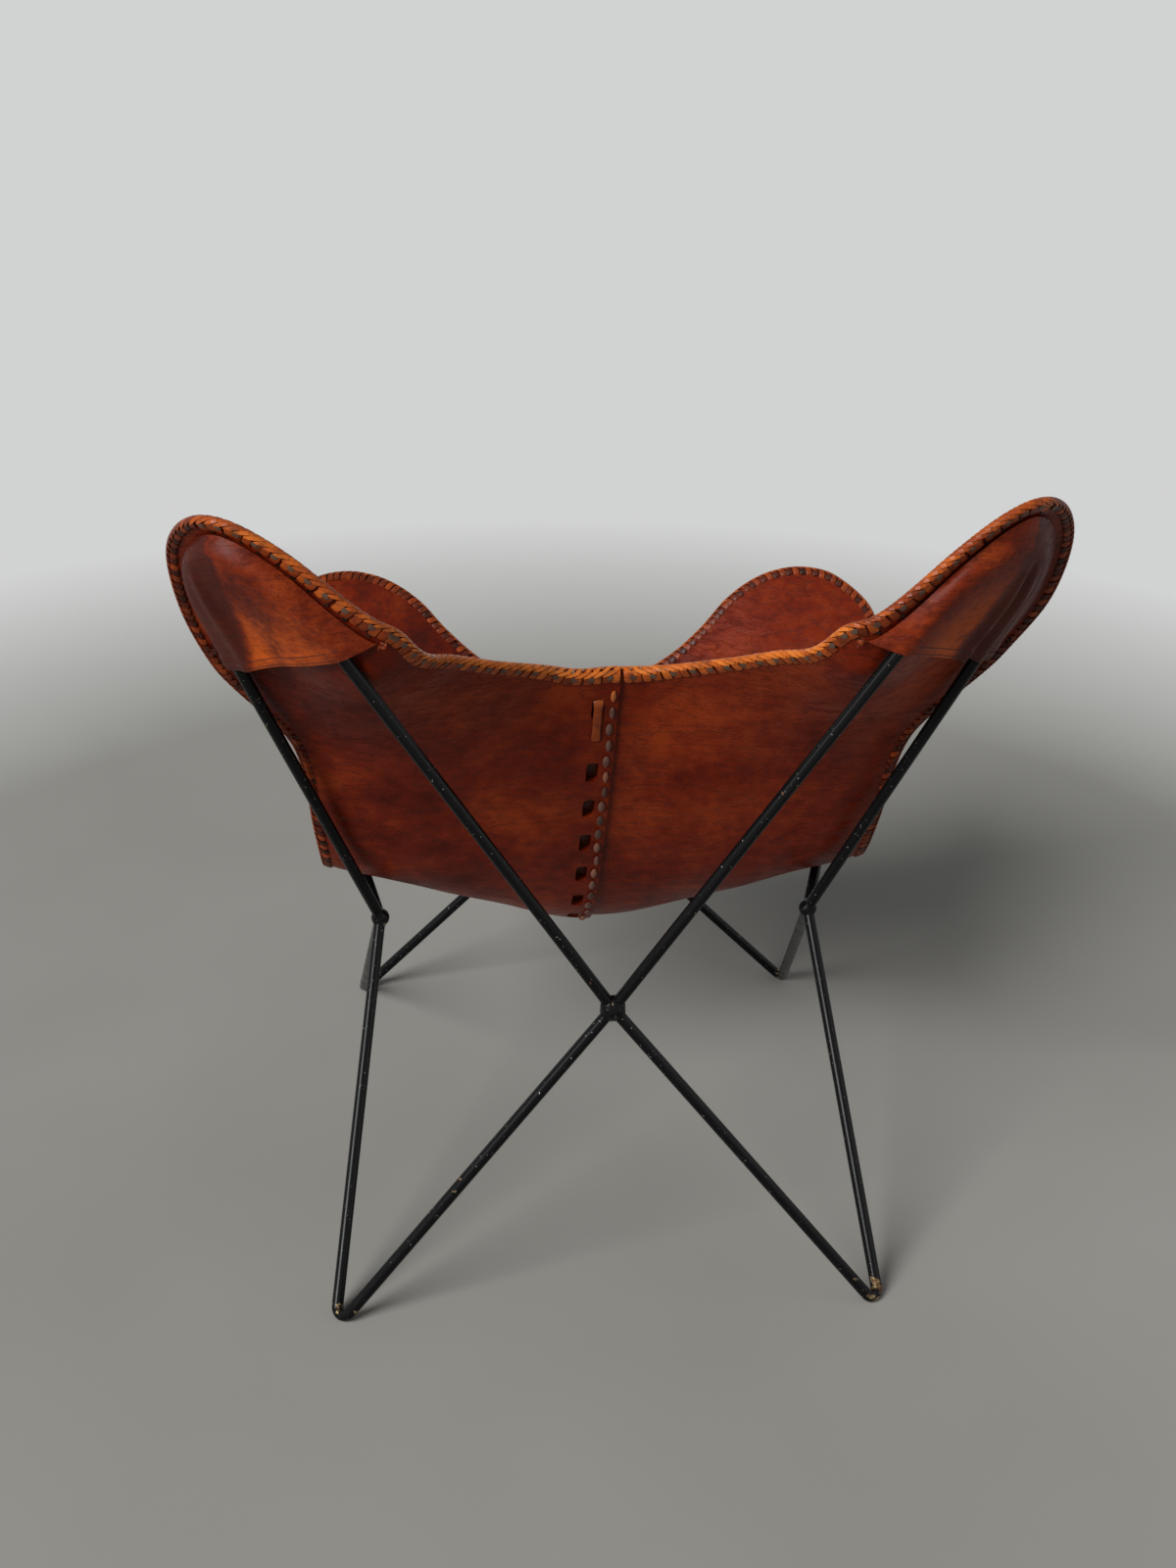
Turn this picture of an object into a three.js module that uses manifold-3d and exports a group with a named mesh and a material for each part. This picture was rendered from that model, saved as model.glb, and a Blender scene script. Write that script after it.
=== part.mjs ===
// Butterfly sling chair: a welded frame of bent steel rod, and a leather sling in two overlapping
// panels, laced round its rim, whose four corner pockets slip over the frame's ears.
// Millimetres, +Z up. The chair's front faces -Y and its left side, seen from behind, is +X.
// Places are given as half width (from the middle), depth (from the back feet, forwards) and height.

import * as THREE from 'three';
import { mergeVertices } from 'three/addons/utils/BufferGeometryUtils.js';
import Module from 'manifold-3d';

const wasm = await Module();
wasm.setup();

// Frame
const rod_diameter = 12;
const back_feet_spread = 566;
const front_feet_spread = 552;
const feet_depth = 612;
const foot_bend_radius = 10;
const foot_flat_depth = 0.8;
const knuckle_diameter = 26;
const weld_gap = 0.3;

// Crossings, where four rods are welded into one knuckle
const back_cross_depth = 64;
const back_cross_height = 337;
const front_cross_depth = 614;
const front_cross_height = 278;
const side_cross_half_width = 234;
const side_cross_depth = 292;
const side_cross_height = 305;

// Shoulders, where a rod begins the bend of its ear
const back_inner_half_width = 252;
const back_inner_depth = 48;
const back_inner_height = 734;
const back_outer_half_width = 369;
const back_outer_depth = 131;
const back_outer_height = 733;
const front_inner_half_width = 208;
const front_inner_depth = 697;
const front_inner_height = 480;
const front_outer_half_width = 338;
const front_outer_depth = 609;
const front_outer_height = 458;
const back_ear_bend_reach = 119;
const front_ear_bend_reach = 88;

// Leather
const leather_thickness = 3.5;
const fit_gap = 0.3;
const ear_seat_gap = 2.6;
const panel_overlap = 40;
const overlap_ease = 60;
const seam_offset_back = 8;
const seam_offset_seat = 24;

// Profile of the sling along the middle, and its waist at each side
const back_edge_depth = 192;
const back_edge_height = 640;
const seat_low_depth = 400;
const seat_low_height = 243;
const seat_side_half_width = 170;
const seat_side_depth = 330;
const seat_side_height = 316;
const front_edge_depth = 680;
const front_edge_height = 388;
const waist_half_width = 290;
const waist_depth = 315;
const waist_height = 362;

// Shares of the way from the seat's low point to the back edge or front edge, in depth and height
const back_profile_shares = [[0.86, 0.76], [0.65, 0.44], [0.38, 0.14]];
const front_profile_shares = [[0.36, 0.13], [0.71, 0.54]];
// Shares of the way from the middle of the back edge to the back ear's inner shoulder
const back_edge_shares = [[0.22, 0.06, 0.06], [0.44, 0.30, 0.30], [0.61, 0.54, 0.54]];
// Shares of the way from the waist to the outer shoulders of the back ear and the front ear
const waist_back_shares = [[0.05, 0.27, 0.20], [0.20, 0.52, 0.52]];
const waist_front_shares = [[0.17, 0.28, 0.18], [0.44, 0.61, 0.58]];

// Leather beyond the rod of an ear, how much more of it there is on the right and less on the left,
// both with shares from its inner mouth over the tip to its outer mouth, and how far it curls back
const back_rim_margin = 45;
const back_rim_margin_shares = [1, 0.76, 0.56, 0.91, 0.71, 0.87, 0.76];
const rim_drift = 8;
const back_rim_drift_shares = [0, -0.25, -0.12, 1, 0.88, 1, 0.25];
const back_rim_curls = [-37, -24, -5, 10, 15, 17, 17].map(THREE.MathUtils.degToRad);
const front_rim_margin = 30;
const front_rim_margin_shares = [0.77, 0.8, 0.87, 1, 0.93, 0.87, 0.83];
const front_rim_drift_shares = [0, 0, 0, 0, 0, 0, 0];
const front_rim_curls = [0, 0, 0, 2, 8, 12, 12].map(THREE.MathUtils.degToRad);
const back_inner_mouth_drop = 25;
const back_outer_mouth_drop = 80;
const front_inner_mouth_drop = 55;
const front_outer_mouth_drop = 70;
// Where the leather is held on an ear, counted from its inner mouth (0) over its shoulders (1 and 5)
const held_counts = [-0.6, 0.2, 1.2, 2.1, 3, 3.9, 4.8, 5.4, 5.9];
// Where the side of the seat rests on the front ear's outer rod, counted on past its mouth
const rest_counts = [7.3, 8.2];
const held_middle_drop = 70;
const sheet_ease_share = 0.000001;

// Pockets
const pocket_thickness = 2.5;
// Where a pocket begins and ends on its ear, counted like the places where the leather is held
const back_pocket_counts = [0.6, 5.85];
const front_pocket_counts = [6, 0];
const pocket_inset = 14;
const pocket_rim_gap = 0.7;
const pocket_rod_gap = 1.8;
const pocket_sag_share = 0.02;
// Shares of a pocket's wrap round the rod, from where it meets the rod to the rod's back
const wrap_shares = [1, 0.5, 0];

// Lacing round the rim
const lace_cover = 10.5;
const lace_thickness = 2.2;
const lace_gap = 0.5;
const lace_joint_gap = 0.6;
const lace_round_share = 0.55;

// Spine: slots, strap and stitching along the overlap
const slot_width = 10;
const slot_length = 24;
const slot_pitch = 54;
const slot_first = 133;
const slot_count = 8;
const tail_slot_place = 46;
const strap_width = 7;
const strap_thickness = 2;
const strap_gap = 1;
const strap_tail_length = 36;
const strap_end_length = 20;
const stitch_inset = 7;
const stitch_pitch = 22;
const stitch_first = 22;
const stitch_count = 32;
const stitch_width = 7;
const stitch_thickness = 4;
const stitch_gap = 0.5;
const stitch_neck_share = 0.4;
const stitch_length_share = 0.55;

// Fineness of the curved surfaces
const rod_sides = 12;
const seat_sides = 16;
const weld_detail = 2;
const bend_steps = 10;
const corner_passes = 4;
const ear_steps = 16;
const panel_columns = 12;
const panel_rows = 32;
const pocket_columns = 18;
const pocket_rungs = 3;
const strap_steps = 36;
const fold_steps = 6;
const tail_steps = 2;
const stitch_sides = 6;
const cut_overrun = 20;

const rod_radius = rod_diameter / 2;
const knuckle_radius = knuckle_diameter / 2;
const rod_start = knuckle_radius * 0.8;
const half_leather = leather_thickness / 2;
const half_overlap = panel_overlap / 2;
const ear_lift = rod_radius + half_leather + ear_seat_gap;

// Colours and finishes
const black_paint = { color: 0x0c0c0d, roughness: 0.32, metalness: 0.6 };
const saddle_leather = { color: 0x7a2c12, roughness: 0.42, metalness: 0 };
const pocket_leather = { color: 0x6b2610, roughness: 0.4, metalness: 0 };
const lace_leather = { color: 0xb0602a, roughness: 0.5, metalness: 0 };
const thong_leather = { color: 0xa8521f, roughness: 0.55, metalness: 0 };
const waxed_cord = { color: 0x6d4a38, roughness: 0.6, metalness: 0 };

const chair = new THREE.Group();

function place(half_width, depth, height) {
  return new THREE.Vector3(half_width, -depth, height);
}

function mirrored(point) {
  return new THREE.Vector3(-point.x, point.y, point.z);
}

function between(from, to, shares) {
  return new THREE.Vector3(
    from.x + (to.x - from.x) * shares[0],
    from.y + (to.y - from.y) * shares[1],
    from.z + (to.z - from.z) * shares[2],
  );
}

function add(name, geometry, finish) {
  const mesh = new THREE.Mesh(geometry, new THREE.MeshStandardMaterial(finish));
  mesh.name = name;
  chair.add(mesh);
}

// Closed bodies from rings of points

function body(points, triangles) {
  const geometry = new THREE.BufferGeometry();
  geometry.setAttribute('position', new THREE.Float32BufferAttribute(points.flatMap((p) => p.toArray()), 3));
  let volume = 0;
  for (const [a, b, c] of triangles) {
    volume += points[a].dot(new THREE.Vector3().crossVectors(points[b], points[c]));
  }
  const facing_out = volume > 0 ? triangles : triangles.map(([a, b, c]) => [a, c, b]);
  geometry.setIndex(facing_out.flat());
  return geometry;
}

// Two triangles for a four-sided face, split along its shorter diagonal
function split(points, a, b, c, d) {
  const straight = points[a].distanceTo(points[c]) <= points[b].distanceTo(points[d]);
  return straight ? [[a, b, c], [a, c, d]] : [[a, b, d], [b, c, d]];
}

// A loft through rings that all have the same number of points, closed by a cap at each end
function loft(rings, cap_outline) {
  const sides = rings[0].length;
  const points = rings.flat();
  const triangles = [];
  for (let ring = 0; ring < rings.length - 1; ring++) {
    for (let side = 0; side < sides; side++) {
      const a = ring * sides + side;
      const b = ring * sides + (side + 1) % sides;
      triangles.push(...split(points, a, b, b + sides, a + sides));
    }
  }
  const last = (rings.length - 1) * sides;
  for (const [a, b, c] of THREE.ShapeUtils.triangulateShape(cap_outline, [])) {
    triangles.push([a, c, b], [last + a, last + b, last + c]);
  }
  return body(points, triangles);
}

// A sheet with a low and a high point at each place, walled round its edge
function thicken(places, triangles) {
  const layer_size = places.length;
  const directed = new Set(triangles.flatMap(([a, b, c]) => [`${a} ${b}`, `${b} ${c}`, `${c} ${a}`]));
  const faces = [];
  for (const [a, b, c] of triangles) {
    faces.push([a, b, c], [a + layer_size, c + layer_size, b + layer_size]);
    for (const [from, to] of [[a, b], [b, c], [c, a]]) {
      if (!directed.has(`${to} ${from}`)) {
        faces.push([to, from, from + layer_size], [to, from + layer_size, to + layer_size]);
      }
    }
  }
  return body([...places.map((one) => one.low), ...places.map((one) => one.high)], faces);
}

// Joins and cuts

function solid(geometry) {
  const bare = geometry.clone();
  bare.deleteAttribute('normal');
  bare.deleteAttribute('uv');
  const merged = mergeVertices(bare);
  return new wasm.Manifold(new wasm.Mesh({
    numProp: 3,
    vertProperties: new Float32Array(merged.attributes.position.array),
    triVerts: new Uint32Array(merged.index.array),
  }));
}

function geometry_of(manifold) {
  const mesh = manifold.getMesh();
  const geometry = new THREE.BufferGeometry();
  geometry.setAttribute('position', new THREE.Float32BufferAttribute(mesh.vertProperties, mesh.numProp));
  geometry.setIndex(Array.from(mesh.triVerts));
  return geometry;
}

// Frame: crossings and shoulders of the left half, which the right half mirrors

const back_cross = place(0, back_cross_depth, back_cross_height);
const front_cross = place(0, front_cross_depth, front_cross_height);
const side_cross = place(side_cross_half_width, side_cross_depth, side_cross_height);
const foot_height = rod_radius - foot_flat_depth;

const ears = {
  back: {
    crossing: back_cross,
    inner: place(back_inner_half_width, back_inner_depth, back_inner_height),
    outer: place(back_outer_half_width, back_outer_depth, back_outer_height),
    reach: back_ear_bend_reach,
    margins: back_rim_margin_shares.map((share) => share * back_rim_margin),
    drifts: back_rim_drift_shares.map((share) => share * rim_drift),
    curls: back_rim_curls,
    inner_drop: back_inner_mouth_drop,
    outer_drop: back_outer_mouth_drop,
    held_counts,
  },
  front: {
    crossing: front_cross,
    inner: place(front_inner_half_width, front_inner_depth, front_inner_height),
    outer: place(front_outer_half_width, front_outer_depth, front_outer_height),
    reach: front_ear_bend_reach,
    margins: front_rim_margin_shares.map((share) => share * front_rim_margin),
    drifts: front_rim_drift_shares.map((share) => share * rim_drift),
    curls: front_rim_curls,
    inner_drop: front_inner_mouth_drop,
    outer_drop: front_outer_mouth_drop,
    held_counts: [...held_counts, ...rest_counts],
  },
};

for (const ear of Object.values(ears)) {
  ear.inner_line = ear.inner.clone().sub(ear.crossing).normalize();
  ear.outer_line = ear.outer.clone().sub(side_cross).normalize();
  ear.upwards = ear.inner_line.clone().add(ear.outer_line).normalize();
  ear.facing = ear.upwards.clone().cross(ear.outer.clone().sub(ear.inner)).normalize();
  ear.turn = Math.sign(ear.facing.z);
  ear.facing.multiplyScalar(ear.turn);
  ear.bend = new THREE.CubicBezierCurve3(
    ear.inner,
    ear.inner.clone().addScaledVector(ear.inner_line, ear.reach),
    ear.outer.clone().addScaledVector(ear.outer_line, ear.reach),
    ear.outer,
  );
}

// Rod along points that are given one by one, so that its steps fall on the bends
class RodPath extends THREE.Curve {
  constructor(points) {
    super();
    this.points = points;
  }

  getPoint(share) {
    const place_on_path = share * (this.points.length - 1);
    const step = Math.min(Math.floor(place_on_path), this.points.length - 2);
    return this.points[step].clone().lerp(this.points[step + 1], place_on_path - step);
  }

  getPointAt(share) {
    return this.getPoint(share);
  }

  getTangentAt(share) {
    const step = Math.round(share * (this.points.length - 1));
    const before = this.points[Math.max(step - 1, 0)];
    const here = this.points[step];
    const after = this.points[Math.min(step + 1, this.points.length - 1)];
    const tangent = new THREE.Vector3();
    if (step > 0) {
      tangent.add(here.clone().sub(before).normalize());
    }
    if (step < this.points.length - 1) {
      tangent.add(after.clone().sub(here).normalize());
    }
    return tangent.normalize();
  }
}

const rod_section = new THREE.Shape();
for (let side = 0; side < rod_sides; side++) {
  const turn = (side / rod_sides) * 2 * Math.PI;
  const point = [rod_radius * Math.cos(turn), rod_radius * Math.sin(turn)];
  if (side === 0) {
    rod_section.moveTo(...point);
  } else {
    rod_section.lineTo(...point);
  }
}
rod_section.closePath();

function rod(points) {
  return new THREE.ExtrudeGeometry(rod_section, {
    steps: points.length - 1,
    bevelEnabled: false,
    extrudePath: new RodPath(points),
  });
}

function off_crossing(crossing, towards) {
  return crossing.clone().addScaledVector(towards.clone().sub(crossing).normalize(), rod_start);
}

// Rod from one crossing to another by way of a corner, which is rounded
function foot_path(from, corner, to) {
  const one = from.clone().sub(corner).normalize();
  const other = to.clone().sub(corner).normalize();
  const half_angle = one.angleTo(other) / 2;
  const middle = one.clone().add(other).normalize();
  const centre = corner.clone().addScaledVector(middle, foot_bend_radius / Math.sin(half_angle));
  const start = corner.clone().addScaledVector(one, foot_bend_radius / Math.tan(half_angle)).sub(centre);
  const end = corner.clone().addScaledVector(other, foot_bend_radius / Math.tan(half_angle)).sub(centre);
  const sweep = Math.PI - 2 * half_angle;
  const points = [off_crossing(from, corner)];
  for (let step = 0; step <= bend_steps; step++) {
    const share = step / bend_steps;
    points.push(centre.clone()
      .addScaledVector(start, Math.sin((1 - share) * sweep) / Math.sin(sweep))
      .addScaledVector(end, Math.sin(share * sweep) / Math.sin(sweep)));
  }
  points.push(off_crossing(to, corner));
  return points;
}

// The corner of a foot lies below its round, whose lowest point rests on the floor
function foot_corner(half_spread, depth, from, to) {
  const corner = place(half_spread, depth, foot_height);
  for (let pass = 0; pass < corner_passes; pass++) {
    const lowest = Math.min(...foot_path(from, corner, to).map((point) => point.z));
    corner.z -= lowest - foot_height;
  }
  return corner;
}

const floor_cut = new THREE.BoxGeometry(back_feet_spread * 2, feet_depth * 2, cut_overrun);
floor_cut.translate(0, -feet_depth / 2, -cut_overrun / 2);
const below_floor = solid(floor_cut);

function leg(name, side, from, half_spread, depth) {
  const corner = foot_corner(half_spread, depth, from, side_cross);
  const points = foot_path(from, corner, side_cross).map(side);
  add(name, geometry_of(solid(rod(points)).subtract(below_floor)), black_paint);
}

function ear_rod(name, side, ear) {
  const points = [off_crossing(ear.crossing, ear.inner)];
  points.push(...ear.bend.getPoints(ear_steps));
  points.push(off_crossing(side_cross, ear.outer));
  add(name, rod(points.map(side)), black_paint);
}

// A knuckle is a ball of weld with a seat for each of its four rods
function knuckle(name, centre, rod_ends) {
  let ball = solid(new THREE.IcosahedronGeometry(knuckle_radius, weld_detail).translate(...centre.toArray()));
  for (const end of rod_ends) {
    const direction = end.clone().sub(centre).normalize();
    const seat = new THREE.CylinderGeometry(
      rod_radius + weld_gap, rod_radius + weld_gap, knuckle_radius, seat_sides);
    seat.translate(0, rod_start - weld_gap + knuckle_radius / 2, 0);
    seat.applyQuaternion(new THREE.Quaternion().setFromUnitVectors(new THREE.Vector3(0, 1, 0), direction));
    seat.translate(...centre.toArray());
    ball = ball.subtract(solid(seat));
  }
  add(name, geometry_of(ball), black_paint);
}

const sides = {
  left: (point) => point.clone(),
  right: (point) => mirrored(point),
};
const back_foot = foot_corner(back_feet_spread / 2, 0, back_cross, side_cross);
const front_foot = foot_corner(front_feet_spread / 2, feet_depth, front_cross, side_cross);

for (const [name, side] of Object.entries(sides)) {
  leg(`back_leg_bend_${name}`, side, back_cross, back_feet_spread / 2, 0);
  leg(`front_leg_bend_${name}`, side, front_cross, front_feet_spread / 2, feet_depth);
  ear_rod(`back_ear_rod_${name}`, side, ears.back);
  ear_rod(`front_ear_rod_${name}`, side, ears.front);
  knuckle(`side_weld_knuckle_${name}`, side(side_cross),
    [back_foot, front_foot, ears.back.outer, ears.front.outer].map(side));
}
for (const [name, crossing, foot, ear] of [
  ['back', back_cross, back_foot, ears.back],
  ['front', front_cross, front_foot, ears.front],
]) {
  knuckle(`${name}_weld_knuckle`, crossing,
    [foot, mirrored(foot), ear.inner, mirrored(ear.inner)]);
}

// Sling surface: the smoothest sheet through the points where the leather is held.
// Each point has a place on a tilted chart, across and along, and a rise above it.

const chart_tilt = THREE.MathUtils.degToRad(20);
const chart_origin = place(0, seat_low_depth, seat_low_height);
const across_axis = new THREE.Vector3(1, 0, 0);
const along_axis = new THREE.Vector3(0, -Math.cos(chart_tilt), -Math.sin(chart_tilt));
const rise_axis = new THREE.Vector3(0, -Math.sin(chart_tilt), Math.cos(chart_tilt));

function on_chart(point) {
  const from_origin = point.clone().sub(chart_origin);
  return { across: from_origin.x, along: from_origin.dot(along_axis), rise: from_origin.dot(rise_axis) };
}

// Rod of an ear at a count from its inner mouth (0) over its shoulders (1 and 5) to its outer mouth (6)
function ear_place(ear, count) {
  const share = THREE.MathUtils.clamp((count - 1) / 4, 0, 1);
  const point = ear.bend.getPoint(share);
  const line = ear.bend.getTangent(share);
  if (count < 1) {
    point.addScaledVector(line, (count - 1) * ear.inner_drop);
  }
  if (count > 5) {
    point.addScaledVector(line, (count - 5) * ear.outer_drop);
  }
  const facing = ear.facing.clone().addScaledVector(line, -ear.facing.dot(line)).normalize();
  return { point, facing, outwards: line.cross(facing).multiplyScalar(ear.turn) };
}

// Rim of the leather round an ear, on the left half or the right half
function ear_rim(ear, side) {
  return ear.margins.map((margin, count) => {
    const { point, facing, outwards } = ear_place(ear, count);
    const reach = margin - side * ear.drifts[count];
    return point
      .addScaledVector(outwards, reach * Math.cos(ear.curls[count]))
      .addScaledVector(facing, ear_lift - reach * Math.sin(ear.curls[count]));
  });
}

const seat_low = place(0, seat_low_depth, seat_low_height);
const back_edge_middle = place(0, back_edge_depth, back_edge_height);
const front_edge_middle = place(0, front_edge_depth, front_edge_height);
const waist = place(waist_half_width, waist_depth, waist_height);
const back_edge_points = back_edge_shares.map((shares) => between(back_edge_middle, ears.back.inner, shares));
const waist_back_points = waist_back_shares.map((shares) => between(waist, ears.back.outer, shares));
const waist_front_points = waist_front_shares.map((shares) => between(waist, ears.front.outer, shares));

const held_points = [
  back_edge_middle,
  ...back_profile_shares.map(([deep, high]) => between(seat_low, back_edge_middle, [0, deep, high])),
  seat_low,
  ...front_profile_shares.map(([deep, high]) => between(seat_low, front_edge_middle, [0, deep, high])),
  front_edge_middle,
  ...back_edge_points,
  place(seat_side_half_width, seat_side_depth, seat_side_height),
  waist,
  ...waist_back_points,
  ...waist_front_points,
];
for (const ear of Object.values(ears)) {
  for (const count of ear.held_counts) {
    const { point, facing } = ear_place(ear, count);
    held_points.push(point.addScaledVector(facing, ear_lift));
  }
  const middle = ear.inner.clone().lerp(ear.outer, 0.5).addScaledVector(ear.facing, ear_lift);
  held_points.push(middle, middle.clone().addScaledVector(ear.upwards, -held_middle_drop));
  held_points.push(...ear_rim(ear, 0));
}
const held = held_points.map(on_chart);
const scale_length = back_inner_height;

function spread(square_share) {
  return square_share > 0 ? square_share * Math.log(square_share) : 0;
}

function pull(across, along, holder) {
  const along_share = ((along - holder.along) / scale_length) ** 2;
  return spread(((across - holder.across) / scale_length) ** 2 + along_share)
    + spread(((across + holder.across) / scale_length) ** 2 + along_share);
}

// Solves a square set of linear equations by elimination
function solve(rows, values) {
  const table = rows.map((row, index) => [...row, values[index]]);
  const count = table.length;
  for (let column = 0; column < count; column++) {
    let best = column;
    for (let row = column + 1; row < count; row++) {
      if (Math.abs(table[row][column]) > Math.abs(table[best][column])) {
        best = row;
      }
    }
    [table[column], table[best]] = [table[best], table[column]];
    for (let row = 0; row < count; row++) {
      if (row === column) {
        continue;
      }
      const factor = table[row][column] / table[column][column];
      for (let entry = column; entry <= count; entry++) {
        table[row][entry] -= factor * table[column][entry];
      }
    }
  }
  return table.map((row, index) => row[count] / row[index]);
}

const equations = held.map((here, index) => {
  const row = held.map((holder) => pull(here.across, here.along, holder));
  row[index] += sheet_ease_share;
  return [...row, 1, here.along / scale_length];
});
equations.push([...held.map(() => 1), 0, 0]);
equations.push([...held.map((here) => here.along / scale_length), 0, 0]);
const pulls = solve(equations, [...held.map((here) => here.rise / scale_length), 0, 0]);

function rise_at(across, along) {
  let share = pulls[held.length] + pulls[held.length + 1] * (along / scale_length);
  held.forEach((holder, index) => {
    share += pulls[index] * pull(across, along, holder);
  });
  return share * scale_length;
}

const slope_step = rod_radius / 4;

// Unit normal of the sheet at a place on the chart, facing the sitter
function normal_at(across, along) {
  const by_across = rise_at(across + slope_step, along) - rise_at(across - slope_step, along);
  const by_along = rise_at(across, along + slope_step) - rise_at(across, along - slope_step);
  return rise_axis.clone().multiplyScalar(2 * slope_step)
    .addScaledVector(across_axis, -by_across)
    .addScaledVector(along_axis, -by_along)
    .normalize();
}

// A point of the sling, lifted off the sheet towards the sitter
function sling_point(across, along, lift) {
  return chart_origin.clone()
    .addScaledVector(across_axis, across)
    .addScaledVector(along_axis, along)
    .addScaledVector(rise_axis, rise_at(across, along))
    .addScaledVector(normal_at(across, along), lift);
}

// Seam: the line along which the two panels overlap, from the back edge to the front edge

const back_edge_place = on_chart(back_edge_middle);
const front_edge_place = on_chart(front_edge_middle);

function seam_at(along) {
  const share = THREE.MathUtils.clamp(1 - along / back_edge_place.along, 0, 1);
  return seam_offset_back + (seam_offset_seat - seam_offset_back) * share;
}

const panel_shift = half_leather + fit_gap / 2;

// How far a panel steps aside where it overlaps the other
function overlap_shift(across, along) {
  const beyond = (Math.abs(across - seam_at(along)) - half_overlap) / overlap_ease;
  const share = THREE.MathUtils.clamp(beyond, 0, 1);
  return panel_shift * (1 - share * share * (3 - 2 * share));
}

// One half of the sling. Its outline on the chart runs from the seam along the back edge, round both
// ears and along the front edge back to the seam.

const ear_counts = 6;
const band_columns = 1;
const back_inner_mouth = 2 + back_edge_points.length;
const back_tip = back_inner_mouth + ear_counts / 2;
const back_outer_mouth = back_inner_mouth + ear_counts;
const front_outer_mouth = back_outer_mouth + waist_back_points.length + waist_front_points.length + 2;
const front_tip = front_outer_mouth + ear_counts / 2;
const front_inner_mouth = front_outer_mouth + ear_counts;
const front_edge_counts = 3;
const outline_end = front_inner_mouth + front_edge_counts;

// Place along the seam of a row of the panels, between the rings of their lacing
function band_along(row) {
  const ring_step = (edge, towards) => {
    const x = seam_at(edge.along);
    const moved = sling_point(x, edge.along + towards, 0).distanceTo(sling_point(x, edge.along, 0));
    return edge.along + towards * lace_cover / moved;
  };
  const back = ring_step(back_edge_place, slope_step);
  const front = ring_step(front_edge_place, -slope_step);
  return back + (front - back) * row / panel_rows;
}

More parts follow.
